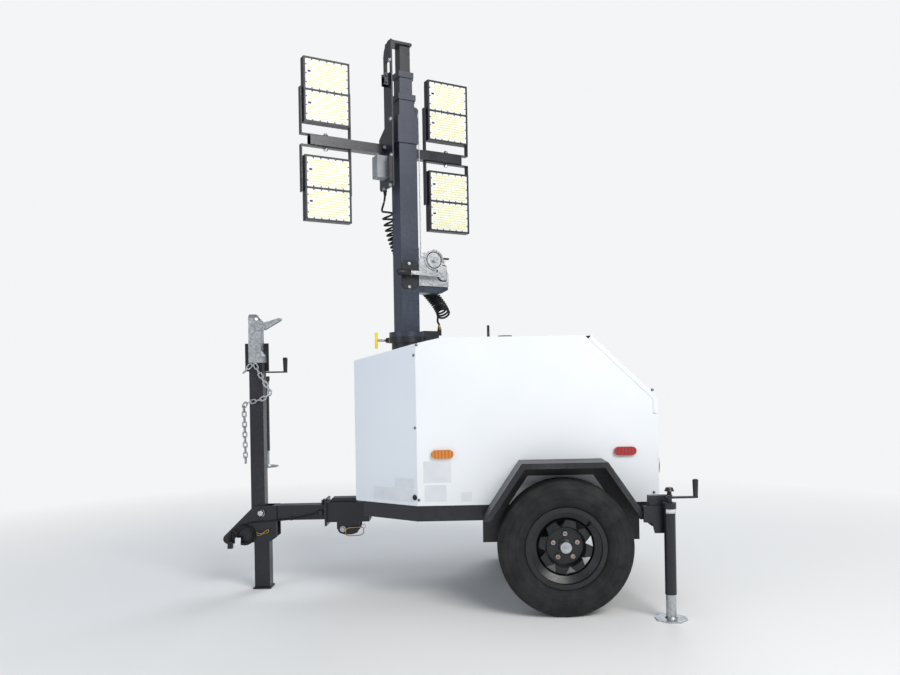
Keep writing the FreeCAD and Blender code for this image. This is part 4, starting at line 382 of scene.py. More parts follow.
black_plastic = moulded("black_polyamide", "#15161A", "#1E2024", 0.42)
grey_plastic = moulded("grey_polycarbonate", "#8B9097", "#A0A5AB", 0.46)
rusty_end = moulded("rusted_steel_end", "#B4642C", "#8C4B22", 0.6, 3.0, 0.4)
screw_steel = zinc_plate("screw_zinc_plate", "#8D9195", "#5E6368", 0.35)
brass = zinc_plate("nickelled_brass", "#D8C48C", "#B39B5E", 0.25)
yellow_paint = moulded("yellow_enamel", "#FFE600", "#F2D400", 0.3, 6.0, 0.05)
cast_iron = moulded("painted_cast_iron", "#4A4D50", "#5A5E61", 0.55, 4.0, 0.6)
white_label = moulded("blank_white_vinyl", "#DFE3E8", "#D5DAE0", 0.4, 8.0, 0.05)
lamp_black = moulded("anodised_black_aluminium", "#15181D", "#23272D", 0.38, 4.0, 0.15)
led_white = moulded("white_solder_mask", "#F4F5F2", "#ECEEEA", 0.35, 6.0, 0.05)
led_yellow = moulded("phosphor_silicone", "#F1F0CE", "#E8E6B4", 0.3, 5.0, 0.1)

# %% [markdown]
# Every CAD node now gets its finish, from its own name or else from its slot in the record.

# %% Finishes on the CAD nodes
BY_SLOT = {"black_steel": black_steel, "white_steel": white_sheet, "zinc_steel": zinc, "tyre": tyre_rubber,
           "engine_iron": cast_iron, "grey_plastic": grey_plastic, "amber_plastic": amber_lens,
           "red_plastic": red_lens, "yellow_steel": yellow_paint, "black_plastic": black_plastic,
           "black_rubber": cable_jacket, "lamp_housing": lamp_black}
BY_NODE = {"nose_panel": white_corner_painted_shade, "mast_outer": mast_coat_painted_light, "mast_stage_2": mast_coat_painted_light,
           "mast_stage_3": mast_coat_painted_light, "head_hanger": black_mast, "crossbar": black_mast,
           "rim_left": black_rim, "rim_right": black_rim, "fender_left": black_fender,
           "fender_right": black_fender}
slot_of = {part["node"]: part["material_slot"] for part in frame["record"]["subparts"]}
for name, piece in frame["nodes"].items():
    finish = BY_NODE.get(name, BY_SLOT[slot_of[name]])
    piece.data.materials.clear()
    piece.data.materials.append(finish)
print(len(frame["nodes"]), "CAD nodes have their finishes")

# %% [markdown]
# New pieces are surfaces: a grid of points worked out from two parameters, with a face between every
# four neighbours. One helper turns such a grid into a mesh. A second carries a round section along a
# path, which is how a cable, a ring or a bent wire is made.

# %% Surfaces from grids
TURN = math.radians(29.5)
MAST_X = -184.0
AXLE_X = 552.0


def from_mast(points):
    """Points in the parked mast's own u, v and z, turned by the mast's angle and moved to its axis."""
    p = np.asarray(points, dtype=float)
    x = MAST_X + p[..., 0] * math.cos(TURN) - p[..., 1] * math.sin(TURN)
    y = p[..., 0] * math.sin(TURN) + p[..., 1] * math.cos(TURN)
    return np.stack([x, y, p[..., 2]], axis=-1)


def grid_faces(rows, columns, close_rows, close_columns):
    """Four corners of every cell: its own point, the next along, the next row's next, the next row's own."""
    first_rows = np.arange(rows if close_rows else rows - 1)
    first_columns = np.arange(columns if close_columns else columns - 1)
    i, j = np.meshgrid(first_rows, first_columns, indexing="ij")
    i2, j2 = (i + 1) % rows, (j + 1) % columns
    corners = [i * columns + j, i * columns + j2, i2 * columns + j2, i2 * columns + j]
    return np.stack(corners, axis=-1).reshape(-1, 4)


def add_piece(name, vertices, faces, finish, body, smooth=True, turn_out=True):
    """A mesh object in metres from arrays in millimetres, with its finish, riding on a body."""
    mesh = bpy.data.meshes.new(name)
    mesh.from_pydata((np.asarray(vertices) * MM).tolist(), [], [list(face) for face in faces])
    mesh.update()
    piece = bpy.data.objects.new(name, mesh)
    bpy.context.scene.collection.objects.link(piece)
    if turn_out:
        work = bmesh.new()
        work.from_mesh(mesh)
        bmesh.ops.recalc_face_normals(work, faces=work.faces)
        work.to_mesh(mesh)
        work.free()
    mesh.shade_smooth() if smooth else mesh.shade_flat()
    mesh.materials.append(finish)
    if body:
        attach(piece, body)
    return piece


def many(grids, close_rows=False, close_columns=True, caps=True):
    """Vertices and faces of equal grids (count, rows, columns, 3), each capped at both ends."""
    grids = np.asarray(grids, dtype=float)
    count, rows, columns = grids.shape[:3]
    base = grid_faces(rows, columns, close_rows, close_columns)
    faces = (base[None] + (np.arange(count) * rows * columns)[:, None, None]).reshape(-1, 4).tolist()
    if caps:
        ring = np.arange(columns)
        for first in (ring[::-1], ring + (rows - 1) * columns):
            faces += (first[None] + (np.arange(count) * rows * columns)[:, None]).tolist()
    return grids.reshape(-1, 3), faces


def across(direction):
    """Two unit vectors square to a direction, for any number of directions at once."""
    d = np.asarray(direction, dtype=float)
    d = d / np.linalg.norm(d, axis=-1, keepdims=True)
    spare = np.where(np.abs(d[..., 2:3]) < 0.9, [0.0, 0.0, 1.0], [1.0, 0.0, 0.0])
    side = np.cross(spare, d)
    side = side / np.linalg.norm(side, axis=-1, keepdims=True)
    return side, np.cross(d, side)


def tube(path, radius, sides=10, reference=None):
    """A round section along a path: path + radius (cos t side + sin t up), side square to the path."""
    path = np.asarray(path, dtype=float)
    along = np.gradient(path, axis=0)
    if reference is None:
        side, up = across(along)
    else:
        side = np.cross(along, reference)
        side = side / np.linalg.norm(side, axis=-1, keepdims=True)
        up = np.cross(side, along / np.linalg.norm(along, axis=-1, keepdims=True))
    t = np.linspace(0, 2 * math.pi, sides, endpoint=False)[None, :, None]
    r = np.broadcast_to(np.asarray(radius, dtype=float), (len(path),))[:, None, None]
    return path[:, None] + r * (np.cos(t) * side[:, None] + np.sin(t) * up[:, None])


def turned_shapes(spots, axis, profile, sides=12, start=0.0):
    """A profile of (radius, height) turned about an axis at every spot, all as one set of grids."""
    spots, profile = np.asarray(spots, dtype=float), np.asarray(profile, dtype=float)
    d = np.asarray(axis, dtype=float) / np.linalg.norm(axis)
    side, up = across(d)
    t = np.linspace(0, 2 * math.pi, sides, endpoint=False)[None, None, :, None] + start
    ring = np.cos(t) * side + np.sin(t) * up
    return spots[:, None, None] + profile[None, :, 0, None, None] * ring + profile[None, :, 1, None, None] * d


def extruded(outline, at, first, second, depth):
    """A flat outline in two directions, carried along their cross product by a depth: two equal rings."""
    outline = np.asarray(outline, dtype=float)
    first, second = np.asarray(first, dtype=float), np.asarray(second, dtype=float)
    flat = np.asarray(at, dtype=float) + outline[:, :1] * first + outline[:, 1:] * second
    return np.stack([flat, flat + np.cross(first, second) * depth])[None]


def rounded(wide, tall, radius, steps=4):
    """Outline of a rectangle with round corners, about its own middle."""
    t = np.linspace(0, math.pi / 2, steps)
    corners = [(wide / 2 - radius, tall / 2 - radius, 0), (radius - wide / 2, tall / 2 - radius, 1),
               (radius - wide / 2, radius - tall / 2, 2), (wide / 2 - radius, radius - tall / 2, 3)]
    arcs = []
    for x, y, quarter in corners:
        turned = t + quarter * math.pi / 2
        arcs.append(np.stack([x + radius * np.cos(turned), y + radius * np.sin(turned)], 1))
    return np.concatenate(arcs)


print("surface helpers ready")

# %% [markdown]
# A cord is a fixed length of something flexible. Its line is a NURBS spline of order 3: the route's
# points pull the line towards them without making it pass through them, which gives one curve with
# no sharp corners. It still bends tightly where a coil meets its lead: down to a radius of 6 mm on
# the curly cord and 3.5 mm on the tow cable. Where a mesh is needed along it, the line is read back
# from the spline itself.

# %% The cords' lines
def nurbs_curve(name, points, bevel=0.0):
    """A curve object of one open NURBS spline through space, in metres."""
    data = bpy.data.curves.new(name, "CURVE")
    data.dimensions = "3D"
    data.resolution_u = 6
    data.use_fill_caps = True
    spline = data.splines.new("NURBS")
    spline.points.add(len(points) - 1)
    weighted = np.concatenate([np.asarray(points) * MM, np.ones((len(points), 1))], axis=1)
    spline.points.foreach_set("co", weighted.ravel())
    spline.order_u = 3
    spline.use_endpoint_u = True
    data.bevel_depth = bevel * MM
    data.bevel_resolution = 3
    piece = bpy.data.objects.new(name, data)
    bpy.context.scene.collection.objects.link(piece)
    return piece


def line_of(points):
    """Points along the NURBS line of a route, in millimetres, as Blender evaluates it."""
    guide = nurbs_curve("guide", points)
    mesh = bpy.data.meshes.new_from_object(guide)
    read = np.empty(len(mesh.vertices) * 3)
    mesh.vertices.foreach_get("co", read)
    bpy.data.objects.remove(guide)
    bpy.data.meshes.remove(mesh)
    return read.reshape(-1, 3) / MM


def run_of(path):
    """Distance along a path at each of its points."""
    return np.concatenate([[0.0], np.cumsum(np.linalg.norm(np.diff(path, axis=0), axis=1))])


# %% [markdown]
# The curly cord feeds the lamps. It hangs from the junction box, passes behind the mast and the
# winch, and ends in a gland on the turning ring. Its upper turns are pulled open by their own weight,
# about 40 mm apart, and the lower ones rest almost on each other. A helix round a bent line is the
# line plus a vector that turns in the plane square to it, and its angle adds up 2 pi for each pitch.

# %% Curly cord
CURLY = [(-84, 100, 2040), (-80, 102, 1960), (-50, 106, 1860), (-10, 110, 1760), (50, 114, 1670),
         (125, 110, 1595), (190, 100, 1525), (236, 80, 1455), (232, 40, 1400), (192, 0, 1346)]
CURLY_WIRE = 11.0
GLAND_AT, RELIEF_AT = (192, 0, 1336), (-84, 62, 2061)
CLOSED_PITCH, TOP_OPENING, TOP_RUN, END_OPENING, END_RUN = 13.2, 26.0, 260.0, 2.0, 110.0
POINTS_A_TURN, WIDENS_OVER = 14, 320
axis_line = line_of(from_mast(CURLY))
axis_run = run_of(axis_line)
coil_from, coil_to = 78.0, axis_run[-1] - 86.0
fine = np.linspace(coil_from, coil_to, 6000)
near_top = np.clip(1 - (fine - coil_from) / TOP_RUN, 0, 1)
near_end = np.clip(1 - (coil_to - fine) / END_RUN, 0, 1)
pitch = CLOSED_PITCH + TOP_OPENING * near_top ** 1.3 + END_OPENING * near_end
angle = np.concatenate([[0.0], np.cumsum((fine[1] - fine[0]) * 2 * math.pi / pitch[1:])])
turns = angle[-1] / (2 * math.pi)
wanted = np.arange(0, int(turns) * POINTS_A_TURN + 1) * 2 * math.pi / POINTS_A_TURN
along = np.interp(wanted, angle, fine)
middle = np.stack([np.interp(along, axis_run, axis_line[:, k]) for k in range(3)], axis=1)
direction = np.gradient(middle, axis=0)
to_u, to_v = from_mast([(1, 0, 0), (0, 1, 0)]) - from_mast([(0, 0, 0)])
sideways = np.cross(direction, to_v)
sideways = sideways / np.linalg.norm(sideways, axis=1, keepdims=True)
square = np.cross(sideways, direction / np.linalg.norm(direction, axis=1, keepdims=True))
widening = [coil_from, coil_from + WIDENS_OVER]
turn_radius = np.interp(along, widening, [27.0, 33.6])[:, None]
moved = np.interp(along, widening, [20.0, 14.0])[:, None] * to_u
helix = middle + moved - turn_radius * (np.cos(wanted)[:, None] * sideways + np.sin(wanted)[:, None] * square)
upper_lead = from_mast([RELIEF_AT, (-84, 64, 2040), (-83, 72, 2012), (-86, 88, 1984), (-88, 98, 1970)])
lower_lead = from_mast([(198, 34, 1376), (193, 12, 1369), (192, 0, 1358), GLAND_AT])
curly_line = line_of(np.concatenate([upper_lead, helix, lower_lead])[::-1])
vertices, faces = many(tube(curly_line, CURLY_WIRE / 2, 8)[None])
curly = add_piece("curly_cord_helix", vertices, faces, cable_jacket, None)
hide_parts("curly_cord")
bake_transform(curly)
gland_nut = [(11.5, 0), (11.5, 8), (9.5, 9), (9.5, 13), (6.2, 24)]
vertices, faces = many(turned_shapes(from_mast([(192, 0, 1334)]), (0, 0, 1), gland_nut, 6))
add_piece("curly_cord_gland_nut", vertices, faces, brass, "mast", smooth=False)
upper_relief = [(11, -0.2), (11, 9), (9, 10), (8.4, 20), (6.0, 32)]
vertices, faces = many(turned_shapes(from_mast([(-84, 62, 2064)]), (0, 0, -1), upper_relief, 16))
add_piece("curly_cord_upper_relief", vertices, faces, grip_rubber, "head")

# %% [markdown]
# The tow light cable leaves the drawbar tube, sags a little along its side, and is wound in three
# and a quarter loose turns round the hinge's tip, where the plug hangs down. The turns differ in
# size because nothing ties them.

# %% Tow light cable
PIVOT_X, LEAD_Y, TOW = -950.0, -52.05, 7.5
lead = [(PIVOT_X + dx, LEAD_Y, z) for dx, z in ((296, 388), (242, 373), (185, 362), (130, 356), (75, 352.8),
                                               (20, 350.6), (-28, 347.5), (-56, 344))]
HANK_X, HANK_Z = -1032.0, 283.0
HANK_STEPS, HANK_SWEEP = 45, math.radians(1170)
first_turn = math.radians(5)
steps = np.arange(0, HANK_STEPS + 1)
swept = steps / HANK_STEPS * HANK_SWEEP
which = swept / (2 * math.pi)
phi = first_turn - swept
size_x = 56.0 - 6.0 * which + 1.6 * np.sin(2.3 * which) * np.minimum(which, 1)
size_z = 54.5 - 5.0 * which + 1.4 * np.cos(1.7 * which + 1.2) * np.minimum(which, 1)
loops = np.stack([HANK_X + size_x * np.sin(phi), LEAD_Y - 1.0 - 5.6 * which, HANK_Z + size_z * np.cos(phi)],
                 axis=1)
tail = [(HANK_X - 45, LEAD_Y - 17.0, HANK_Z + 22), (HANK_X - 56, LEAD_Y - 14.0, HANK_Z + 27),
        (HANK_X - 68, LEAD_Y - 10.5, HANK_Z + 20), (HANK_X - 72.8, LEAD_Y - 8.5, HANK_Z + 2),
        (HANK_X - 72.8, LEAD_Y - 8.25, HANK_Z - 14), (HANK_X - 72.8, LEAD_Y - 8.25, HANK_Z - 31)]
tow_points = np.concatenate([lead, loops, tail])
tow = nurbs_curve("tow_cable", tow_points, TOW / 2)
tow.data.materials.append(cable_jacket)
tow_line = line_of(tow_points)
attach(tow, "chassis")
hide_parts("tow_lead", "tow_coil")
vertices, faces = many(turned_shapes([tow_line[0]], tow_line[1] - tow_line[0],
                                     [(3.6, -1), (7.5, 0), (7.2, 6), (5.6, 16), (4.4, 28), (3.8, 30)], 16))
relief = add_piece("tow_cable_relief", vertices, faces, grip_rubber, "chassis")

# %% [markdown]
# The tyres are 13 inch trailer tyres. Their shape is a section carried round the axle: position on
# the section gives radius and width, and the angle gives the place round the wheel. The tread is cut
# by lowering the radius: four grooves that run round, and slanted cross grooves that are deeper at
# the shoulders. A few low rings mark the side wall, as on the real one.

# %% Tyres
WHEEL_Y, WHEEL_Z, TYRE_R = 602.0, 305.0, 305.0
AROUND = 540
section = np.array([(182.8, -61.7), (191.5, -72), (203, -79.5), (219, -85.2), (236, -87.5), (254, -86.2),
                    (270, -83.2), (281, -80.5), (290, -76), (297, -70.5), (301.5, -65.5), (303.3, -61.5)])
crown_y = np.linspace(-59, 59, 46)
crown = np.stack([304.9 - 1.3 * (np.abs(crown_y) / 61) ** 2.4, crown_y], axis=1)
inner = np.array([(186, 45), (230, 74), (282, 55), (285, 0), (282, -55), (230, -74), (186, -45)])
loop_points = np.concatenate([section, crown, section[::-1] * [1, -1], inner])
on_tread = slice(len(section), len(section) + len(crown))
t_around = np.linspace(0, 2 * math.pi, AROUND, endpoint=False)


def groove(distance, half_width, soft):
    """1 within half a width of a groove's middle, falling smoothly to 0 at its edge."""
    return np.clip((half_width + soft - distance) / soft, 0, 1)


def tread_depth(angle, y):
    """How far the tread is cut in, in mm: round grooves, and cross grooves that lean with y."""
    round_cut = sum(groove(np.abs(np.abs(y) - place), 2.6, 1.4) for place in (12.5, 36.5))
    blocks = 54
    lean = angle * blocks / (2 * math.pi) + np.abs(y) / 34.0 + (y > 0) * 0.5
    across_gap = np.abs((lean + 0.5) % 1 - 0.5) * (2 * math.pi * TYRE_R / blocks)
    shoulder = groove(across_gap, 2.2, 1.6) * np.clip((np.abs(y) - 37) / 3, 0, 1)
    middle = groove(across_gap, 0.7, 1.1) * (np.abs(y) < 36)
    return np.maximum(np.maximum(7.0 * np.clip(round_cut, 0, 1), 6.2 * shoulder), 4.0 * middle)


def make_tyre(side, sign):
    """radius(angle, section) and width(section), turned about the axle; rows go round the section."""
    angle, row = np.meshgrid(t_around, np.arange(len(loop_points)), indexing="ij")
    radius, y = loop_points[row, 0], loop_points[row, 1]
    cut = np.zeros_like(radius)
    cut[:, on_tread] = tread_depth(angle[:, on_tread], y[:, on_tread])
    radius = radius - cut
    points = np.stack([AXLE_X + radius * np.cos(angle), WHEEL_Y * sign + y, WHEEL_Z + radius * np.sin(angle)],
                      axis=-1)
    faces = grid_faces(AROUND, len(loop_points), True, True)
    tyre = add_piece(f"tyre_{side}_treaded", points.reshape(-1, 3), faces, tyre_rubber, f"wheel_{side}")
    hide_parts(f"tyre_{side}")
    return tyre


for side, sign in (("left", -1), ("right", 1)):
    tyre = make_tyre(side, sign)
    print(tyre.name, len(tyre.data.polygons) * 2, "triangles")

# %% [markdown]
# Low rings on the side walls, the valve and its cap, and the hexagon nuts on the studs. The nuts are
# zinc plated and have bright ends that have rusted to orange where the plating wore off.

# %% Side wall rings, valves and wheel nuts
STUD_R = 57.15


def wheel_bits(side, sign):
    """Rings, valve and nuts of one wheel, all riding on it."""
    centre = np.array([AXLE_X, WHEEL_Y * sign, WHEEL_Z])
    rings = []
    for radius, out in ((209, 80.9), (228, 86.2), (262, 84.6), (287, 77.4)):
        angle = np.linspace(0, 2 * math.pi, 145)[:-1]
        rings.append(np.stack([centre[0] + radius * np.cos(angle), np.full(144, centre[1] + sign * out),
                               centre[2] + radius * np.sin(angle)], axis=1))
        rings[-1] = np.concatenate([rings[-1], rings[-1][:1]])
    grids = [tube(ring, 1.5, 6) for ring in rings]
    vertices, faces = many(np.stack(grids), caps=False)
    add_piece(f"side_wall_rings_{side}", vertices, faces, tyre_rubber, f"wheel_{side}")
    valve_at = centre + [0.72 * 131, sign * 22, 0.69 * 131]
    valve = [(5.5, -8), (5.5, 2), (4, 4), (4, 26), (4.6, 26.5), (4.6, 36), (3, 38), (0.2, 38.4)]
    vertices, faces = many(turned_shapes([valve_at], (0.35, sign, 0.33), valve, 12))
    add_piece(f"valve_{side}", vertices, faces, grip_rubber, f"wheel_{side}")
    around = np.radians(72 * np.arange(5) + 90)
    spots = centre + np.stack([-sign * STUD_R * np.cos(around), np.zeros(5), STUD_R * np.sin(around)], axis=1)
    nuts = [(12.0, 0.4), (12.0, 1.5), (11.9, 13.8), (10.4, 15.4), (6.4, 15.6), (6.3, 20.0), (5.2, 21.2),
            (0.1, 21.4)]
    vertices, faces = many(turned_shapes(spots, (0, sign, 0), nuts, 6))
    add_piece(f"wheel_nuts_{side}", vertices, faces, zinc, f"wheel_{side}", smooth=False)
    stud_end = [(5.4, 21.0), (5.4, 22.0), (4.4, 22.6), (0.1, 22.7)]
    vertices, faces = many(turned_shapes(spots, (0, sign, 0), stud_end, 16))
    add_piece(f"stud_ends_{side}", vertices, faces, rusty_end, f"wheel_{side}")
    cap = [(31, 1.0), (31, 6), (28.5, 8), (28, 39), (26.5, 44.0), (23, 46.4), (14, 47.6), (0.1, 47.9)]
    vertices, faces = many(turned_shapes([centre], (0, sign, 0), cap, 40))
    add_piece(f"hub_cap_{side}", vertices, faces, bright_zinc, f"wheel_{side}")


for side, sign in (("left", -1), ("right", 1)):
    wheel_bits(side, sign)
print("wheel details on both sides")

# %% [markdown]
# Each lamp holds two light boards: white solder mask over aluminium, ten rows of light emitting
# diodes under pale yellow silicone domes, a screw every few centimetres round the edge, and a small
# black plug where the leads come in. A diode is a low dome of few faces, since there are many.

# %% Light boards
BAR_Z, LAMP_UP, BOARD_V = 2279.0, 245.0, 53.0
COLUMNS = {"left": -398.0, "right": 294.0}
BOARD_TALL, BOARD_WIDE, HALF_APART = 149.5, 225.0, 79.25
ROW_PITCH, DIODE_PITCH = 13.2, 9.6
dome = [(2.9, 0), (2.8, 0.7), (2.0, 1.3), (0.05, 1.6)]
board_screw = [(3.6, 0), (3.6, 1.3), (2.9, 2.0), (0.1, 2.1)]
flat_face = np.array([0.0, -1.0, 0.0])
toward = from_mast([flat_face])[0] - from_mast([(0.0, 0.0, 0.0)])[0]
along_u = from_mast([(1.0, 0.0, 0.0)])[0] - from_mast([(0.0, 0.0, 0.0)])[0]
up_z = np.array([0.0, 0.0, 1.0])

for level, rise in (("upper", 1), ("lower", -1)):
    for word, lamp_u in COLUMNS.items():
        lamp_z, body = BAR_Z + LAMP_UP * rise, f"lamp_{level}_{word}"
        boards, strips, diodes, screws, plugs = [], [], [], [], []
        for half in (-1, 1):
            mid_z = lamp_z + HALF_APART * half
            at = from_mast([(lamp_u, BOARD_V + 0.2, mid_z)])[0]
            boards.append(extruded(rounded(BOARD_WIDE - 1.4, BOARD_TALL - 1.4, 4), at, along_u, up_z, 1.6)[0])
            row_z = mid_z + ROW_PITCH * (np.arange(10) - 4.5)
            for k, z in enumerate(row_z):
                short = 26.0 if k in (5, 6) else 0.0
                left, right_end = lamp_u - 101 + short, lamp_u + 101
                where = from_mast([((left + right_end) / 2, BOARD_V - 1.4, z)])[0]
                strips.append(extruded(rounded(right_end - left, 7.6, 2.5, 3), where, along_u, up_z, 0.9)[0])
                us = np.arange(left + 5, right_end - 3, DIODE_PITCH)
                row = np.stack([us, np.full(len(us), BOARD_V - 2.3), np.full(len(us), z)], axis=1)
                diodes.append(from_mast(row))
            edge_u = lamp_u + np.linspace(-78, 78, 5)
            side_z = mid_z + np.array([-44.0, 0.0, 44.0])
            holes = [(u, BOARD_V - 1.4, mid_z + s * 70.5) for u in edge_u for s in (-1, 1)]
            holes += [(lamp_u + s * 107.5, BOARD_V - 1.4, z) for z in side_z for s in (-1, 1)]
            screws.append(from_mast(holes))
            plugs.append(from_mast([(lamp_u - 92, BOARD_V - 1.4, mid_z + 12)])[0])
        vertices, faces = many(np.stack(boards))
        add_piece(f"light_board_{level}_{word}", vertices, faces, led_white, body, smooth=False)
        vertices, faces = many(np.stack(strips))
        add_piece(f"diode_rows_{level}_{word}", vertices, faces, led_yellow, body, smooth=False)
        vertices, faces = many(turned_shapes(np.concatenate(diodes), toward, dome, 6))
        add_piece(f"diodes_{level}_{word}", vertices, faces, led_yellow, body)
        vertices, faces = many(turned_shapes(np.concatenate(screws), toward, board_screw, 10))
        add_piece(f"board_screws_{level}_{word}", vertices, faces, screw_steel, body)
        grids = [extruded(rounded(15, 9, 1.5, 3), at, along_u, up_z, 2.2)[0] for at in plugs]
        vertices, faces = many(np.stack(grids))
        add_piece(f"board_plugs_{level}_{word}", vertices, faces, black_plastic, body, smooth=False)

# %% [markdown]
# Bolts, washers and screws are small, but they show how the machine is put together. Each is a profile
# turned about the bolt's own axis: with six sides it is a hex head, with twelve or more a washer or a
# round head. A list of places gives one mesh for all the like ones on a body.

# %% Bolts and screws
WASHER = [(0.1, 0.2), (15, 0.2), (15, 2.4), (14.4, 3.0), (0.1, 3.0)]
HEX = [(11.4, 3.0), (11.4, 9.6), (10.0, 10.8), (0.1, 11.0)]
ROUND_HEAD = [(7.0, 0.1), (6.8, 1.6), (5.2, 3.2), (2.2, 3.9), (0.1, 4.0)]
MINUS_U, TO_CAMERA = from_mast([(-1, 0, 0), (0, -1, 0)]) - from_mast([(0, 0, 0)])
SIDE_SKIN_Y = -471.0


def fasteners(name, spots, axis, body, scale=1.0, finish=zinc):
    """Hex heads on washers at a list of places, facing along one axis."""
    shapes = ((WASHER, 20, "washers"), (HEX, 6, "heads"))
    for profile, sides, part in shapes:
        sized = [(r * scale, h * scale) for r, h in profile]
        vertices, faces = many(turned_shapes(spots, axis, sized, sides, 0.3))
        add_piece(f"{name}_{part}", vertices, faces, finish, body, smooth=False)


hanger_spots = ((46, 2284), (-36, 2225), (58, 2069), (-22, 2075), (-36, 2713), (-36, 2410))
hanger = from_mast([(-88, v, z) for v, z in hanger_spots])
fasteners("hanger_bolts", hanger, MINUS_U, "head", 0.85)
for level, rise in (("upper", 1), ("lower", -1)):
    for word, lamp_u in COLUMNS.items():
        spot = from_mast([(lamp_u, 86, BAR_Z + rise * 34)])
        fasteners(f"yoke_bolt_{level}_{word}", spot, (0, 0, rise), "head", 0.9)
fasteners("winch_back_bolts", from_mast([(-8, -50, z) for z in (1548, 1668)]), TO_CAMERA, "mast", 0.8)
fasteners("tongue_pivot_bolt", [(-947, -57.2, 394)], (0, -1, 0), "chassis", 1.35, bright_zinc)
fasteners("receiver_bolt", [(-527, -57.5, 304)], (0, -1, 0), "chassis", 1.05)
side_spots = [(x, SIDE_SKIN_Y, z) for x, z in ((-110, 1228), (-110, 505), (990, 1000), (990, 520))]
vertices, faces = many(turned_shapes(side_spots, (0, -1, 0), ROUND_HEAD, 14))
add_piece("side_screws_left", vertices, faces, screw_steel, "chassis")
print("bolts and screws placed")

# %% [markdown]
# The hand winch shows its makings: a zinc drum flange whose groove has its shade painted as a black
# ring, a raised D-shaped cover over the gears, a black pawl lever and a black plastic grip on its flat
# crank. Each is a turned profile or a flat outline carried a few millimetres out of the side plate.

# %% Winch details
def ring_of(spot, axis, inner, outer, low, high, sides=48):
    """A flat ring: its square section turned about the axis, closed on itself."""
    section = [(inner, low), (outer, low), (outer, high), (inner, high)]
    return many(turned_shapes([spot], axis, section, sides), close_rows=True, caps=False)


DRUM_U, DRUM_Z, SHAFT_U, SHAFT_Z, WINCH_SIDE = 138.0, 1695.0, 165.0, 1613.0, -52.0
drum = from_mast([(DRUM_U, WINCH_SIDE - 3, DRUM_Z)])[0]
# Painted shade: a thin black ring laid on the flange where its groove is, standing in for the groove's
# shadow.
vertices, faces = ring_of(drum, TO_CAMERA, 40, 45, 0.1, 1.2)
add_piece("drum_groove_painted_shade", vertices, faces, black_plastic, "mast", smooth=False)
vertices, faces = ring_of(drum, TO_CAMERA, 49.5, 54.6, 0.1, 3.0)
add_piece("drum_bead", vertices, faces, bright_zinc, "mast", smooth=False)
d_angle = np.linspace(math.pi / 2, 3 * math.pi / 2, 18)
d_round = np.stack([30 * np.cos(d_angle), 44 * np.sin(d_angle)], 1)
d_shape = np.concatenate([d_round, [(24, -44), (30, -38), (30, 38), (24, 44)]])
cover_at = from_mast([(182, WINCH_SIDE - 0.2, 1628)])[0]
covers = (("gear_cover_seal", 1.0, 1.4, black_plastic), ("gear_cover", 0.86, 6.0, zinc))
for name, size, out, finish in covers:
    vertices, faces = many(extruded(d_shape * size, cover_at, along_u, up_z, out))
    add_piece(name, vertices, faces, finish, "mast", smooth=False)
grip = [(0.1, -1), (13, -1), (16.4, 2), (16.4, 72), (13, 75)]
vertices, faces = many(turned_shapes(from_mast([(-93, -90, 1617)]), along_u, grip, 24))
add_piece("winch_grip", vertices, faces, black_plastic, "mast")
pawl = [(-16, -5), (14, -5), (18, 0), (18, 4), (-16, 5)]
vertices, faces = many(extruded(pawl, from_mast([(212, WINCH_SIDE + 8, 1706)])[0], along_u, up_z, 10))
add_piece("pawl_lever", vertices, faces, black_steel, "mast", smooth=False)
cover_bolts = from_mast([(198, WINCH_SIDE - 0.2, z) for z in (1575, 1690)])
fasteners("gear_cover_bolts", cover_bolts, TO_CAMERA, "mast", 0.5)
fasteners("drum_axle_nut", from_mast([(DRUM_U, -64, DRUM_Z)]), TO_CAMERA, "mast", 0.9)
fasteners("crank_nut", from_mast([(SHAFT_U, -94, SHAFT_Z)]), TO_CAMERA, "mast", 0.7)
backing = rounded(96, 150, 26, 8)
vertices, faces = many(extruded(backing, from_mast([(-1, -50.2, 1612)])[0], along_u, up_z, 3.5))
add_piece("winch_backing_plate", vertices, faces, black_steel, "mast", smooth=False)
print("winch details added")

# %% [markdown]
# Yellow-zinc wire parts hold the pins: an R-clip on the leg's pin and a bail on the receiver's. They
# are bent wire, so each is a round section carried along a smooth closed or open line.

# %% Clips, bail and tag
def closed_wire(points, radius):
    """A wire bent into a closed loop: its line overlaps itself by a point, so that the joint is smooth."""
    looped = np.concatenate([points[-1:], points, points[:1]])
    return many(tube(looped, radius, 8, reference=(0, 1, 0))[None, 1:-1], close_rows=True, caps=False)


bail_t = np.linspace(0, 2 * math.pi, 61)[:-1]
bail_cos, bail_sin = np.cos(bail_t), np.sin(bail_t)
bail = np.stack([-466 + 46 * np.sign(bail_cos) * np.abs(bail_cos) ** 0.45, np.full(60, -63.0),
                 291 + 21 * np.sign(bail_sin) * np.abs(bail_sin) ** 0.6 + 4 * bail_cos], axis=1)
vertices, faces = closed_wire(bail, 2.6)
add_piece("pin_bail", vertices, faces, yellow_zinc, "chassis")
ring_t = np.linspace(0, 2 * math.pi, 41)[:-1]
ring = np.stack([-421 + 10 * np.cos(ring_t), np.full(40, -60.0), 317 + 10 * np.sin(ring_t)], axis=1)
vertices, faces = closed_wire(ring, 1.7)
add_piece("bail_ring", vertices, faces, zinc, "chassis")
clip_line = line_of([(-970, -66, 296), (-956, -66, 290), (-948, -69, 291), (-938, -66, 293), (-924, -66, 300),
                     (-911, -66, 312), (-905, -66, 304), (-912, -66, 294), (-926, -66, 292), (-940, -66, 287),
                     (-954, -66, 280), (-968, -66, 283)])
vertices, faces = many(tube(clip_line, 1.8, 8, reference=(0, 1, 0))[None])
add_piece("leg_pin_clip", vertices, faces, yellow_zinc, "front_leg")
tag = np.array([(-15, -18), (13, -18), (15, 17), (-14, 18)], dtype=float)
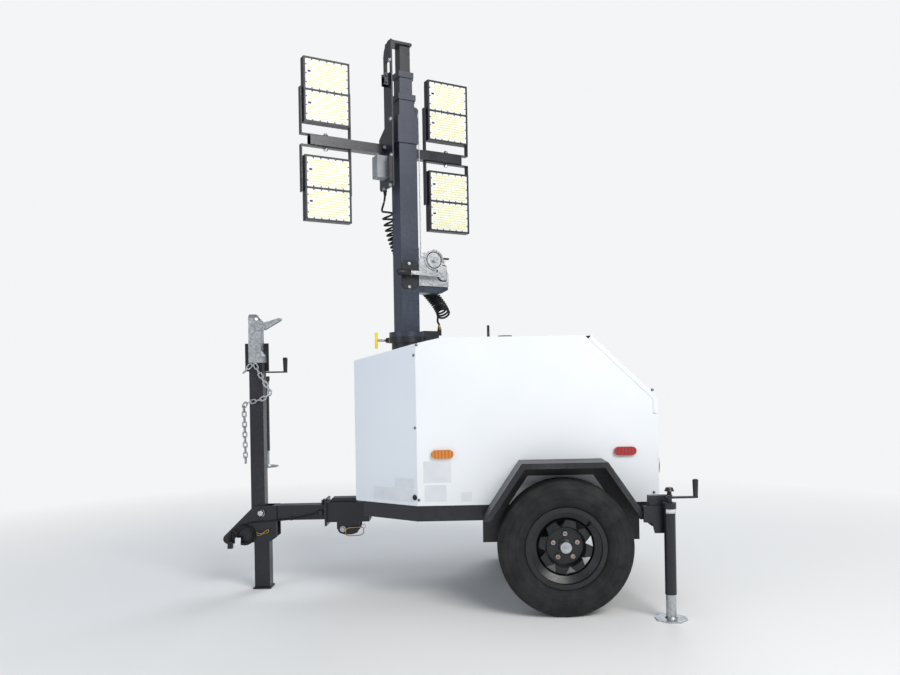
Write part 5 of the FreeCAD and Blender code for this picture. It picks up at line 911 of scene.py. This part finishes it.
vertices, faces = many(extruded(tag, (-1061, -77.5, 256), (1, 0, 0), (0, 0, 1), 0.8))
add_piece("cable_tag", vertices, faces, white_label, "chassis", smooth=False)
print("wire parts and tag added")

# %% [markdown]
# The sheet carries blank labels, as thin flat films a fraction of a millimetre proud of the paint, and
# small screws and a round lock at the slanted corner's edge.

# %% Labels and corner fittings
SLANT = math.radians(36.5)
corner_forward = np.array([-math.cos(SLANT), math.sin(SLANT), 0.0])
corner_out = np.array([-math.sin(SLANT), -math.cos(SLANT), 0.0])
edge = np.array([-117.0, SIDE_SKIN_Y, 0.0])


def on_corner(s, z):
    """A point of the slanted corner sheet, s forward from the side's edge."""
    return edge + corner_forward * s + np.array([0.0, 0.0, z])


def label(name, at, first, wide, tall, body="chassis"):
    """A blank film label, centred on a point of a sheet."""
    vertices, faces = many(extruded(rounded(wide, tall, 3), at, first, (0, 0, 1), 0.5))
    return add_piece(name, vertices, faces, white_label, body, smooth=False)


label("corner_label_low", on_corner(148, 524), -corner_forward, 252, 62)
label("corner_label_high", on_corner(78, 580), -corner_forward, 118, 44)
label("side_label_high", (-22, SIDE_SKIN_Y, 634), (1, 0, 0), 130, 100)
label("side_label_low", (-32, SIDE_SKIN_Y, 534), (1, 0, 0), 102, 78)
label("side_label_small", (112, SIDE_SKIN_Y, 516), (1, 0, 0), 50, 44)
corner_spots = [on_corner(8, 1180), on_corner(7, 841)]
vertices, faces = many(turned_shapes(corner_spots, corner_out, ROUND_HEAD, 14))
add_piece("corner_screws", vertices, faces, screw_steel, "chassis")
lock = [(13, 0.1), (13, 2.5), (11, 3.6), (8, 3.8), (7.6, 2.4), (0.1, 2.4)]
vertices, faces = many(turned_shapes([on_corner(14, 516)], corner_out, lock, 28))
add_piece("corner_lock", vertices, faces, black_plastic, "chassis")
wrap = np.linspace(-0.9, 0.9, 13)
JACK_X, JACK_Y, JACK_R = 998.0, -725.0, 25.1
patch = np.stack([np.stack([JACK_X + r * np.sin(wrap), JACK_Y - r * np.cos(wrap), np.full(13, z)], 1)
                  for r, z in ((JACK_R, 465), (JACK_R + 0.4, 465), (JACK_R + 0.4, 495), (JACK_R, 495))])
vertices, faces = many(patch[None], close_rows=True, close_columns=False, caps=False)
add_piece("jack_label", vertices, faces, white_label, "jack_left")

# %% [markdown]
# The mast's lock pin has a yellow cross bar, a bare steel stem and a black boss, so the stem and the
# boss each get a thin turned skin over the yellow of the handle.

# %% Lock pin
STEM_Z = 1275.0
vertices, faces = many(turned_shapes([(-337.6, 0, STEM_Z)], (1, 0, 0), [(6.25, 0), (6.25, 43.0)], 20))
add_piece("lock_pin_stem", vertices, faces, zinc, "chassis")
boss = [(6.3, 0), (12.3, 0), (12.6, 1.2), (14.9, 17.2)]
vertices, faces = many(turned_shapes([(-294.9, 0, STEM_Z)], (1, 0, 0), boss, 28), caps=False)
add_piece("lock_pin_boss", vertices, faces, black_steel, "chassis")
print("lock pin dressed")
